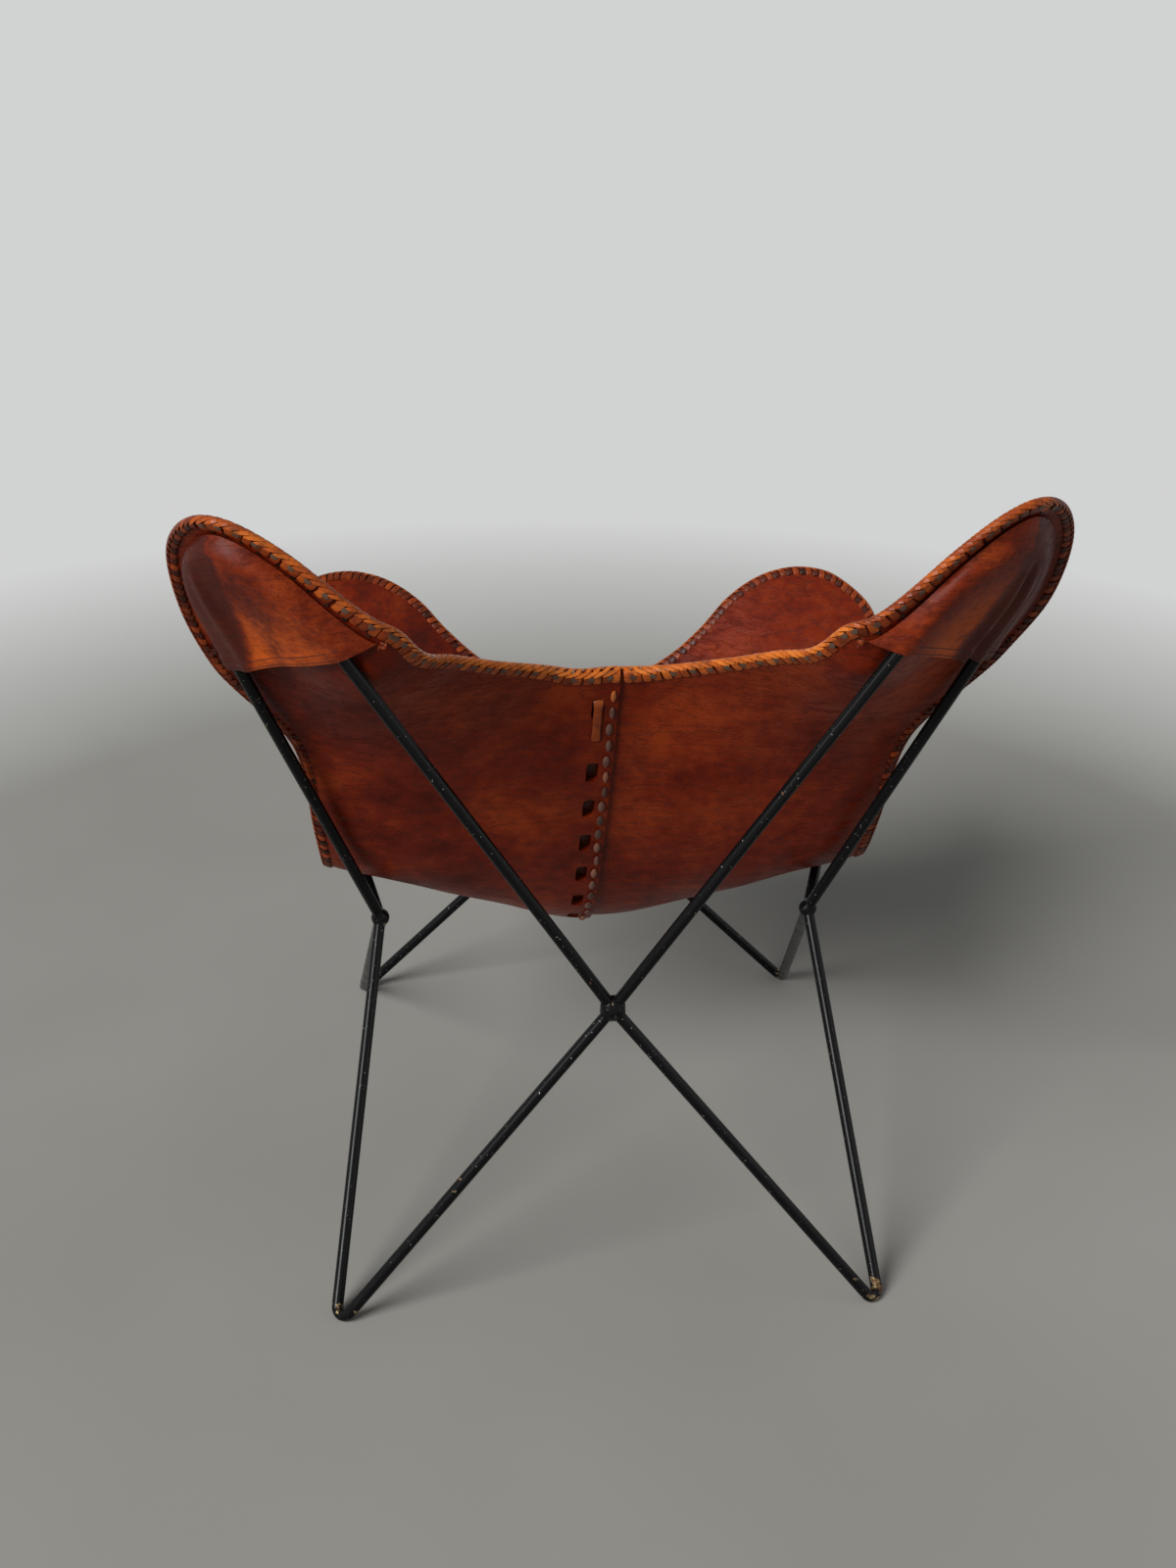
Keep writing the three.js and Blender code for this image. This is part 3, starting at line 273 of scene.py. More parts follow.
class Sheet:
    """The smoothest sheet through the places where the leather is held, symmetric about the middle.

    A place on it is given on a tilted chart, across and along; the sheet rises above the chart.
    """

    def __init__(self) -> None:
        """Solves the sheet from the held places."""
        tilt = math.radians(SLING.chart_tilt)
        self.origin = place(*SLING.seat_low)
        self.across_axis = np.array([1.0, 0.0, 0.0])
        self.along_axis = np.array([0.0, -math.cos(tilt), -math.sin(tilt)])
        self.rise_axis = np.array([0.0, -math.sin(tilt), math.cos(tilt)])
        self.lift = FRAME.rod_radius + SLING.leather / 2 + SLING.ear_seat_gap
        self.size = BACK_EAR.inner[2]
        self.back_edge = place(*SLING.back_edge)
        self.front_edge = place(*SLING.front_edge)
        self.waist = place(*SLING.waist)
        self.back_edge_points = self.between(self.back_edge, BACK_EAR.inner, SLING.back_edge_shares)
        self.waist_back_points = self.between(self.waist, BACK_EAR.outer, SLING.waist_back)
        self.waist_front_points = self.between(self.waist, FRONT_EAR.outer, SLING.waist_front)
        self.held = self.on_chart(np.array(self.held_points()))
        self.pulls = self.solve()

    @staticmethod
    def between(start: Array, end: Array, shares: tuple) -> list[Array]:
        """Points at shares of the way between two points, one share for each axis."""
        return [start + (end - start) * np.array(one) for one in shares]

    def held_points(self) -> list[Array]:
        """All the points the leather passes through.

        Returns:
            The points, in millimetres.
        """
        low = place(*SLING.seat_low)
        back = [(0, deep, high) for deep, high in SLING.back_profile]
        front = [(0, deep, high) for deep, high in SLING.front_profile]
        points = [self.back_edge, *self.between(low, self.back_edge, back), low]
        points += [*self.between(low, self.front_edge, front), self.front_edge]
        points += [*self.back_edge_points, place(*SLING.seat_side), self.waist]
        points += [*self.waist_back_points, *self.waist_front_points]
        for ear in (BACK_EAR, FRONT_EAR):
            rod, facing, _ = ear.at(ear.held_counts)
            points += list(rod + facing * self.lift)
            middle = (ear.inner + ear.outer) / 2 + ear.facing * self.lift
            points += [middle, middle - ear.upwards * SLING.middle_drop]
            points += list(ear.rim(0, self.lift))
        return points

    def on_chart(self, points: Array) -> Array:
        """Chart places (across, along, rise) of points.

        Args:
            points: points in millimetres.

        Returns:
            One row of three for each point.
        """
        moved = np.asarray(points) - self.origin
        axes = np.array([self.across_axis, self.along_axis, self.rise_axis])
        return moved @ axes.T

    def pull(self, across: Array, along: Array) -> Array:
        """How strongly each held place and its mirror image pull at chart places.

        Args:
            across: the places across the chart.
            along: the places along it.

        Returns:
            Places by held places.
        """
        total = np.zeros((len(across), len(self.held)))
        step_along = ((along[:, None] - self.held[None, :, 1]) / self.size) ** 2
        for mirror in (1, -1):
            step = ((across[:, None] - mirror * self.held[None, :, 0]) / self.size) ** 2
            step = step + step_along
            total += np.where(step > 0, step * np.log(np.maximum(step, TINY)), 0.0)
        return total

    def solve(self) -> Array:
        """The pulls that make the sheet pass through its held places.

        Returns:
            One pull for each held place, then the level and the slope of the whole.
        """
        count = len(self.held)
        table = np.zeros((count + 2, count + 2))
        table[:count, :count] = self.pull(self.held[:, 0], self.held[:, 1])
        table[:count, :count] += np.eye(count) * SLING.ease_share
        table[:count, count] = table[count, :count] = 1
        table[:count, count + 1] = table[count + 1, :count] = self.held[:, 1] / self.size
        return np.linalg.solve(table, np.append(self.held[:, 2] / self.size, [0, 0]))

    def rise(self, chart: Array) -> Array:
        """Rise of the sheet above chart places.

        Args:
            chart: places across and along.

        Returns:
            The rise at each place, in millimetres.
        """
        across, along = chart[:, 0], chart[:, 1]
        share = self.pull(across, along) @ self.pulls[:-2]
        return (share + self.pulls[-2] + self.pulls[-1] * along / self.size) * self.size

    def normal(self, chart: Array) -> Array:
        """Unit normals towards the sitter.

        Args:
            chart: places across and along.

        Returns:
            One vector for each place.
        """
        step = FRAME.rod_radius / 4
        by_across = self.rise(chart + [step, 0]) - self.rise(chart - [step, 0])
        by_along = self.rise(chart + [0, step]) - self.rise(chart - [0, step])
        tall = self.rise_axis * 2 * step
        return unit(
            tall - self.across_axis * by_across[:, None] - self.along_axis * by_along[:, None]
        )

    def point(self, chart: Array, lift: Array | float = 0.0) -> Array:
        """Points of the sheet at chart places, lifted towards the sitter.

        Args:
            chart: places across and along.
            lift: distance off the sheet, for each place or for all.

        Returns:
            The points, in millimetres.
        """
        chart = np.asarray(chart, float)
        flat = (
            self.origin
            + chart[:, :1] * self.across_axis
            + chart[:, 1:2] * self.along_axis
            + self.rise(chart)[:, None] * self.rise_axis
        )
        lift = np.broadcast_to(np.asarray(lift, float), (len(chart),))
        return flat + self.normal(chart) * lift[:, None]


SHEET = Sheet()
BACK_EDGE_ALONG = float(SHEET.on_chart(SHEET.back_edge)[1])
FRONT_EDGE_ALONG = float(SHEET.on_chart(SHEET.front_edge)[1])
HALF_OVERLAP = SLING.overlap / 2
HALF_LEATHER = SLING.leather / 2


def seam_at(along: Array) -> Array:
    """Where the middle of the overlap runs, across the chart."""
    share = np.clip(1 - np.asarray(along, float) / BACK_EDGE_ALONG, 0, 1)
    return SLING.seam_offset_back + (SLING.seam_offset_seat - SLING.seam_offset_back) * share


class Outline:
    """A smooth line through chart places, counted by them."""

    def __init__(self, places: Array) -> None:
        """Sets up one cubic for each stretch.

        Args:
            places: the chart places, in order.
        """
        ends = np.vstack([2 * places[0] - places[1], places, 2 * places[-1] - places[-2]])
        steps = np.maximum(np.sum(np.diff(ends, axis=0) ** 2, axis=1) ** 0.25, 1e-4)[:, None]
        one, two, three = steps[:-2], steps[1:-1], steps[2:]
        a, b, c, d = ends[:-3], ends[1:-2], ends[2:-1], ends[3:]
        start = ((b - a) / one - (c - a) / (one + two) + (c - b) / two) * two
        end = ((c - b) / two - (d - b) / (two + three) + (d - c) / three) * two
        self.parts = (b, start, -3 * b + 3 * c - 2 * start - end, 2 * b - 2 * c + start + end)
        self.end = len(places) - 1

    def at(self, counts: Array) -> Array:
        """Chart places at counts.

        Args:
            counts: places along the outline.

        Returns:
            One chart place for each count.
        """
        counts = np.clip(np.asarray(counts, float), 0, self.end)
        index = np.minimum(counts.astype(int), self.end - 1)
        t = (counts - index)[:, None]
        p, q, r, s = (part[index] for part in self.parts)
        return p + q * t + r * t**2 + s * t**3


BACK_INNER_MOUTH = 2 + len(SHEET.back_edge_points)
BACK_TIP = BACK_INNER_MOUTH + 3
BACK_OUTER_MOUTH = BACK_INNER_MOUTH + 6
FRONT_OUTER_MOUTH = BACK_OUTER_MOUTH + len(SLING.waist_back) + len(SLING.waist_front) + 2
FRONT_TIP = FRONT_OUTER_MOUTH + 3
FRONT_INNER_MOUTH = FRONT_OUTER_MOUTH + 6
OUTLINE_END = FRONT_INNER_MOUTH + 3


class Side(Enum):
    """The two halves of the sling, as seen from behind the chair."""

    LEFT = 1
    RIGHT = -1

    @property
    def word(self) -> str:
        """The half's name in the names of its pieces."""
        return self.name.lower()


class Half:
    """One half of the sling: its outline on the chart and points on and near it."""

    rim_samples = 1600
    tangent_step = 1 / 32

    def __init__(self, side: Side) -> None:
        """Lays the outline round the half.

        Args:
            side: which half it is.
        """
        self.side = side
        self.sign = side.value
        self.step_aside = -self.sign
        front_rim = SHEET.on_chart(FRONT_EAR.rim(self.sign, SHEET.lift))[::-1, :2]
        bend = front_rim[-1] / 2 + [0, FRONT_EDGE_ALONG / 2]
        places = [
            self.beside_seam(BACK_EDGE_ALONG, -HALF_OVERLAP),
            self.beside_seam(BACK_EDGE_ALONG, HALF_OVERLAP),
            *SHEET.on_chart(SHEET.back_edge_points)[:, :2],
            *SHEET.on_chart(BACK_EAR.rim(self.sign, SHEET.lift))[:, :2],
            *SHEET.on_chart(SHEET.waist_back_points)[::-1, :2],
            SHEET.on_chart(SHEET.waist)[:2],
            *SHEET.on_chart(SHEET.waist_front_points)[:, :2],
            *front_rim,
            bend,
            self.beside_seam(FRONT_EDGE_ALONG, HALF_OVERLAP),
            self.beside_seam(FRONT_EDGE_ALONG, -HALF_OVERLAP),
        ]
        self.outline = Outline(np.array(places))

    def beside_seam(self, along: float, offset: float) -> Array:
        """Chart place beside the seam, in the overlap's band."""
        return np.array([self.sign * float(seam_at(along)) + offset, along])

    def on_band(self, across_share: Array, along_share: Array) -> Array:
        """Chart places in the overlap's band, which runs from the back edge to the front edge.

        Args:
            across_share: shares of the way across the band.
            along_share: shares of the way along it.

        Returns:
            The chart places.
        """
        along = BACK_EDGE_ALONG + (FRONT_EDGE_ALONG - BACK_EDGE_ALONG) * np.asarray(along_share)
        across = self.sign * seam_at(along) + (np.asarray(across_share) * 2 - 1) * HALF_OVERLAP
        return np.stack(np.broadcast_arrays(across, along), axis=1)

    def chart_grid(self, columns: Array, rows: Array) -> Array:
        """Chart places of the whole half, blended from its four sides.

        Args:
            columns: counts from the band's free edge (0) over its other side (1) to the tips.
            rows: shares of the way from the back edge to the front edge.

        Returns:
            The places, rows by columns.
        """
        inner = self.on_band(1, rows)[:, None]
        side = self.outline.at(BACK_TIP + (FRONT_TIP - BACK_TIP) * rows)[:, None]
        beyond = np.maximum(columns, 1)
        back = self.outline.at(beyond)[None]
        front_reach = OUTLINE_END - FRONT_TIP
        front_counts = 1 + (beyond - 1) * (front_reach - 1) / (BACK_TIP - 1)
        front = self.outline.at(OUTLINE_END - front_counts)[None]
        u = ((beyond - 1) / (BACK_TIP - 1))[None, :, None]
        v = np.asarray(rows)[:, None, None]
        corners = (
            (1 - u) * (1 - v) * inner[:1] + (1 - u) * v * inner[-1:]
            + u * (1 - v) * side[:1] + u * v * side[-1:]
        )
        grid = (1 - u) * inner + u * side + (1 - v) * back + v * front - corners
        for index in np.flatnonzero(columns < 1):
            grid[:, index] = self.on_band(columns[index], rows)
        return grid

    def shift(self, chart: Array) -> Array:
        """How far this half steps aside where it overlaps the other.

        Args:
            chart: places across and along.

        Returns:
            The distance at each place, in millimetres.
        """
        seam = seam_at(chart[:, 1])
        beyond = (np.abs(self.sign * chart[:, 0] - seam) - HALF_OVERLAP) / SLING.overlap_ease
        return (HALF_LEATHER + SLING.fit_gap / 2) * (1 - smooth_step(beyond))

    def mirror(self, points: Array) -> Array:
        """Moves points of the left side over to this half's side."""
        return points * [self.sign, 1, 1]

    def outwards(self, counts: Array) -> Array:
        """The way out of the leather at its rim, on the left side.

        Args:
            counts: places along the outline.

        Returns:
            One unit vector for each count.
        """
        steps = (-self.tangent_step, self.tangent_step)
        before, after = (SHEET.point(self.outline.at(counts + step)) for step in steps)
        return unit(np.cross(SHEET.normal(self.outline.at(counts)), after - before))

    def inset(self, counts: Array, distance: Array | float) -> Array:
        """Chart places at a distance in from the rim.

        Args:
            counts: places along the outline.
            distance: how far in, in millimetres.

        Returns:
            The chart places.
        """
        distance = np.broadcast_to(np.asarray(distance, float), counts.shape)
        points = SHEET.point(self.outline.at(counts)) - self.outwards(counts) * distance[:, None]
        return SHEET.on_chart(points)[:, :2]

    def edge_point(self, counts: Array, inset: Array, lift: Array) -> Array:
        """Points near the rim.

        Args:
            counts: places along the outline.
            inset: distance in from the rim, negative past it.
            lift: distance off the sheet, towards the sitter.

        Returns:
            The points, in millimetres.
        """
        inside = self.inset(counts, np.maximum(inset, 0))
        past = self.outwards(counts) * np.maximum(-inset, 0)[:, None]
        return self.mirror(SHEET.point(inside, lift) + past)

    def spaced(self, start: float, end: float, pitch: float) -> Array:
        """Counts about one pitch apart along the outline, at even steps of the rim's length.

        Args:
            start: the count to start from.
            end: the count to end at.
            pitch: the pitch, in millimetres.

        Returns:
            The counts.
        """
        first, last = self.rim_travel(np.array([start, end]))
        steps = max(int(round((last - first) / pitch)), 2)
        return self.rim_count(first + (np.arange(steps) + 0.5) / steps * (last - first))

    def rim_table(self) -> tuple[Array, Array]:
        """Counts along the outline and how far round the rim each lies, in millimetres."""
        counts = np.linspace(0, OUTLINE_END, self.rim_samples)
        return counts, travel_along(SHEET.point(self.outline.at(counts)))

    def rim_travel(self, counts: Array) -> Array:
        """How far round the rim each count lies, in millimetres."""
        return np.interp(counts, *self.rim_table())

    def rim_count(self, travelled: Array) -> Array:
        """Counts along the outline at distances round the rim."""
        return np.interp(travelled, *self.rim_table()[::-1])


HALVES = {side: Half(side) for side in Side}


def shift_to_frame() -> Array:
    """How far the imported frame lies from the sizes' own origin, in millimetres."""
    low, high = (np.array(corner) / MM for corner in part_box("back_weld_knuckle"))
    return np.array([*((low + high) / 2 - place(*FRAME.back_cross))[:2], 0.0])


SHIFT = shift_to_frame()


def to_frame(points: Array) -> Array:
    """Points in millimetres, from the sizes' own origin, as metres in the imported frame."""
    return (np.asarray(points, float) + SHIFT) * MM


# Meshes


def mesh_from(name: str, bm: bmesh.types.BMesh) -> bpy.types.Mesh:
    """Makes a mesh of a bmesh, which is freed.

    Args:
        name: the name of the mesh.
        bm: the bmesh.

    Returns:
        The mesh.
    """
    mesh = bpy.data.meshes.new(name)
    bm.to_mesh(mesh)
    bm.free()
    return mesh


def add_object(name: str, data: bpy.types.ID) -> bpy.types.Object:
    """Makes an object at the origin and puts it in the scene.

    Args:
        name: the name of the object.
        data: what it shows.

    Returns:
        The object.
    """
    made = bpy.data.objects.new(name, data)
    bpy.context.scene.collection.objects.link(made)
    return made


def new_piece(
    name: str, bm: bmesh.types.BMesh, material: bpy.types.Material, slot: str, *nodes: str
) -> bpy.types.Object:
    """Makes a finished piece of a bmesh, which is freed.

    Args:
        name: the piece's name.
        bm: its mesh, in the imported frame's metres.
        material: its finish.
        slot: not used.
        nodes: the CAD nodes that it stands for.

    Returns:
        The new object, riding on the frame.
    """
    bmesh.ops.recalc_face_normals(bm, faces=bm.faces)
    mesh = mesh_from(name, bm)
    mesh.shade_smooth()
    mesh.set_sharp_from_angle(angle=SHARP_ANGLE)
    mesh.materials.append(material)
    piece = add_object(name, mesh)
    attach(piece, BODY)
    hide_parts(*nodes)
    log.info("%s: %d faces", name, len(mesh.polygons))
    return piece


def extrude(bm: bmesh.types.BMesh, faces: list) -> tuple[list, list]:
    """Extrudes faces in place and returns the new faces and the new vertices.

    Args:
        bm: the bmesh they are in.
        faces: the faces.

    Returns:
        The new faces and the new vertices.
    """
    grown = bmesh.ops.extrude_face_region(bm, geom=faces)["geom"]
    kinds = (bmesh.types.BMFace, bmesh.types.BMVert)
    new_faces, new_verts = ([part for part in grown if isinstance(part, kind)] for kind in kinds)
    return new_faces, new_verts


def thicken(bm: bmesh.types.BMesh, thickness: float) -> None:
    """Gives the open sheets of a bmesh their thickness, in millimetres, half on each side.

    Args:
        bm: the bmesh.
        thickness: how thick the sheets become.
    """
    bm.normal_update()
    way = bm.verts.layers.float_vector.new("way")
    for vert in bm.verts:
        vert[way] = vert.normal
    first = list(bm.verts)
    _, second = extrude(bm, list(bm.faces))
    for verts, sign in ((first, 1), (second, -1)):
        for vert in verts:
            vert.co += vert[way] * sign * thickness * MM / 2
    bm.verts.layers.float_vector.remove(bm.verts.layers.float_vector["way"])


def grid_points(bm: bmesh.types.BMesh, points: Array) -> list[bmesh.types.BMVert]:
    """Adds an open grid of faces through rows and columns of points, in millimetres.

    Args:
        bm: the bmesh.
        points: rows by columns by three.

    Returns:
        The new vertices, row by row.
    """
    rows, columns = points.shape[:2]
    verts = bmesh.ops.create_grid(bm, x_segments=columns - 1, y_segments=rows - 1, size=1)["verts"]
    for vert, point in zip(verts, to_frame(points).reshape(-1, 3)):
        vert.co = point
    return verts


def strand_template(rings: int, sides: int) -> bpy.types.Mesh:
    """A straight closed strand of unit radius, one unit long for each step between its rings.

    Args:
        rings: how many rings it has.
        sides: how many sides a ring has.

    Returns:
        Its mesh.
    """
    bm = bmesh.new()
    bmesh.ops.create_circle(bm, cap_ends=True, segments=sides, radius=1)
    cap = list(bm.faces)
    for _ in range(rings - 1):
        cap, raised = extrude(bm, cap)
        bmesh.ops.translate(bm, verts=raised, vec=(0, 0, 1))
    bmesh.ops.recalc_face_normals(bm, faces=bm.faces)
    return mesh_from("strand_template", bm)


@dataclass
class Strands:
    """Closed strands of one section, each swept along a path of its own.

    Paths and across are strands by rings by three, in millimetres; across is the way the widths
    are laid out. Widths, heights and tones are per strand and ring, or one for all.
    """

    paths: Array
    across: Array
    widths: Array | float
    heights: Array | float
    tones: Array | float = 0.5
    sides: int = 6

    def add_to(self, bm: bmesh.types.BMesh) -> None:
        """Adds the strands to a bmesh, with their tones in its layer of that name.

        Args:
            bm: the bmesh.
        """
        count, rings = self.paths.shape[:2]
        template = strand_template(rings, self.sides)
        places = np.array([vert.co[:] for vert in template.vertices])
        ring = np.rint(places[:, 2]).astype(int)
        lines = unit(np.gradient(self.paths, axis=1))
        across = self.across - lines * np.sum(self.across * lines, axis=-1, keepdims=True)
        across = unit(across)
        rise = np.cross(lines, across)
        wide, high, tone = (
            np.broadcast_to(np.asarray(values, float), (count, rings))
            for values in (self.widths, self.heights, self.tones)
        )
        points = self.paths[:, ring]
        points = points + across[:, ring] * (wide[:, ring] / 2 * places[:, 0])[..., None]
        points = points + rise[:, ring] * (high[:, ring] / 2 * places[:, 1])[..., None]
        layer = bm.verts.layers.float.get("tone") or bm.verts.layers.float.new("tone")
        first = len(bm.verts)
        for _ in range(count):
            bm.from_mesh(template)
        bm.verts.ensure_lookup_table()
        points, tones = to_frame(points).reshape(-1, 3), tone[:, ring].ravel()
        for index, (point, value) in enumerate(zip(points, tones)):
            vert = bm.verts[first + index]
            vert.co = point
            vert[layer] = value
        bpy.data.meshes.remove(template)


# Finishes


class Nodes:
    """Lays out the nodes of one tree."""

    def __init__(self, tree: bpy.types.NodeTree) -> None:
        """Takes the tree."""
        self.tree = tree

    def add(self, kind: str, inputs: dict | None = None, **settings: object) -> bpy.types.Node:
        """Adds a node.

        Args:
            kind: the node's type.
            inputs: values or sockets for its inputs, by name or number.
            settings: its properties.

        Returns:
            The node.
        """
        node = self.tree.nodes.new(kind)
        for key, value in settings.items():
            setattr(node, key, value)
        for key, value in (inputs or {}).items():
            self.feed(node.inputs[key], value)
        return node

    def feed(self, socket: Socket, value: object) -> None:
        """Links a socket to an input, or sets the input's own value.

        Args:
            socket: the input.
            value: a socket, or a value of its own.
        """
        if isinstance(value, Socket):
            self.tree.links.new(value, socket)
        else:
            socket.default_value = value

    def math(self, operation: str, one: object, other: object = 0.0) -> Socket:
        """Result of a sum or comparison."""
        return self.add("ShaderNodeMath", {0: one, 1: other}, operation=operation).outputs[0]

    def times(self, one: object, other: object) -> Socket:
        """Product of two values."""
        return self.math("MULTIPLY", one, other)

    def mix(self, share: object, one: object, other: object) -> Socket:
        """Blend of two colours.

        Args:
            share: how much of the other colour there is.
            one: a colour or a socket.
            other: a colour or a socket.

        Returns:
            The blended colour.
        """
        node = self.add("ShaderNodeMix", {"Factor": share}, data_type="RGBA")
        colours = [socket for socket in node.inputs if socket.type == "RGBA"]
        for socket, value in zip(colours, (one, other)):
            self.feed(socket, value if isinstance(value, Socket) else (*value, 1))
        return next(socket for socket in node.outputs if socket.type == "RGBA")


class Shader(Nodes):
    """Lays out the nodes of one material."""

    def __init__(self, name: str) -> None:
        """Starts a material with a principled shader and its object coordinates.

        Args:
            name: the name of the material.
        """
        self.material = bpy.data.materials.new(name)
        self.material.use_nodes = True
        super().__init__(self.material.node_tree)
        self.surface = self.tree.nodes["Principled BSDF"]
        self.object_place = self.add("ShaderNodeTexCoord").outputs["Object"]

    def tone(self) -> Socket:
        """The tone kept with each vertex of a piece."""
        return self.add("ShaderNodeAttribute", attribute_name="tone").outputs["Fac"]

    def surface_input(self, **values: object) -> None:
        """Feeds inputs of the principled shader, named with underscores."""
        for key, value in values.items():
            self.feed(self.surface.inputs[key.replace("_", " ")], value)

    def noise(
        self, scale: float, detail: float = 4, stretch: tuple = (1, 1, 1), **more: float
    ) -> Socket:
        """Noise in object space, with cells of about 1/scale metres, stretched by axis.

        Args:
            scale: how fine it is.
            detail: how many finer layers it has.
            stretch: how much finer it is along each axis.
            more: further inputs of the node.

        Returns:
            The noise, from 0 to 1.
        """
        mapped = self.add(
            "ShaderNodeMapping", {"Vector": self.object_place, "Scale": stretch}
        ).outputs[0]
        inputs = {"Vector": mapped, "Scale": scale, "Detail": detail, **more}
        return self.add("ShaderNodeTexNoise", inputs).outputs["Fac"]

    def ramp(self, value: object, *stops: tuple) -> Socket:
        """A colour ramp through stops of (place, colour).

        Args:
            value: the place on the ramp.
            stops: the stops, in order.

        Returns:
            The colour.
        """
        node = self.add("ShaderNodeValToRGB", {"Fac": value})
        while len(node.color_ramp.elements) < len(stops):
            node.color_ramp.elements.new(0.5)
        for element, (at, colour) in zip(node.color_ramp.elements, stops):
            element.position = at
            element.color = (*colour, 1)
        return node.outputs["Color"]

    def rescale(
        self, value: object, low: float, high: float, to_low: float, to_high: float
    ) -> Socket:
        """Maps a value from one range to another, held at its ends.

        Args:
            value: the value.
            low: start of its range.
            high: end of its range.
            to_low: start of the range it is brought to.
            to_high: end of that range.

        Returns:
            The new value.
        """
        inputs = {"Value": value, "From Min": low, "From Max": high}
        inputs |= {"To Min": to_low, "To Max": to_high}
        return self.add("ShaderNodeMapRange", inputs).outputs["Result"]

    def bump(
        self, height: object, distance: float, strength: float, below: Socket | None = None
    ) -> Socket:
        """Normals of a bump, over another bump if there is one.

        Args:
            height: the height of the bump.
            distance: its depth, in metres.
            strength: how much of it shows.
            below: normals of the bump under it.

        Returns:
            The normals.
        """
        inputs = {"Height": height, "Distance": distance, "Strength": strength}
        if below is not None:
            inputs["Normal"] = below
        return self.add("ShaderNodeBump", inputs).outputs["Normal"]


@dataclass(frozen=True)
class PaintFinish:
    """Gloss paint on steel, chipped, and worn to the metal at the feet.

    Cells are the scale of a noise, a range is the part of it that is used, and a bump is its depth
    in metres and how much of it shows. The finishes below are written in the same way.
    """

    name: str
    paint: tuple
    chip: tuple
    rust: tuple
    brass: tuple
    wear_height: float
    patch_cells: float = 85.0
    speck_cells: float = 420.0
    worn_above: tuple = (0.72, 0.56)
    chipped_above: float = 0.715
    roughness: tuple = (0.16, 0.34)
    bare_roughness: float = 0.28
    metal_cells: float = 160.0
    metal_stops: tuple = (0.4, 0.62)
    metal_share: float = 0.6
    streak_cells: float = 60.0
    streak_range: tuple = (0.35, 0.7)
    dimple_cells: float = 240.0
    dimple_share: float = 0.4
    chip_bump: tuple = (0.0004, 0.35)
    shine: float = 0.08
    coat: float = 0.1
    coat_roughness: float = 0.06

    def build(self) -> bpy.types.Material:
        """Makes the material.

        Returns:
            The material.
        """
        sh = Shader(self.name)
        height = sh.add("ShaderNodeSeparateXYZ", {0: sh.object_place}).outputs["Z"]
        low = sh.rescale(height, 0.0, self.wear_height, 1.0, 0.0)
        patches = sh.noise(self.patch_cells, 5)
        specks = sh.noise(self.speck_cells, 3)
        worn = sh.math("GREATER_THAN", patches, sh.rescale(low, 0, 1, *self.worn_above))
        chipped = sh.math("GREATER_THAN", specks, self.chipped_above)
        metals = zip(self.metal_stops, (self.rust, self.brass))
        metal = sh.ramp(sh.noise(self.metal_cells), *metals)
        colour = sh.mix(worn, self.paint, metal)
        colour = sh.mix(chipped, colour, self.chip)
        bare = sh.math("MAXIMUM", worn, chipped)
        streaks = sh.rescale(sh.noise(self.streak_cells, 6), *self.streak_range, *self.roughness)
        dimples = sh.times(sh.noise(self.dimple_cells, 3), self.dimple_share)
        height = sh.math("SUBTRACT", dimples, bare)
        sh.surface_input(
            Base_Color=colour,
            Metallic=sh.times(worn, self.metal_share),
            Roughness=sh.math("ADD", streaks, sh.times(bare, self.bare_roughness)),
            Specular_IOR_Level=self.shine,
            Coat_Weight=self.coat,
            Coat_Roughness=self.coat_roughness,
            Normal=sh.bump(height, *self.chip_bump),
        )
        return sh.material


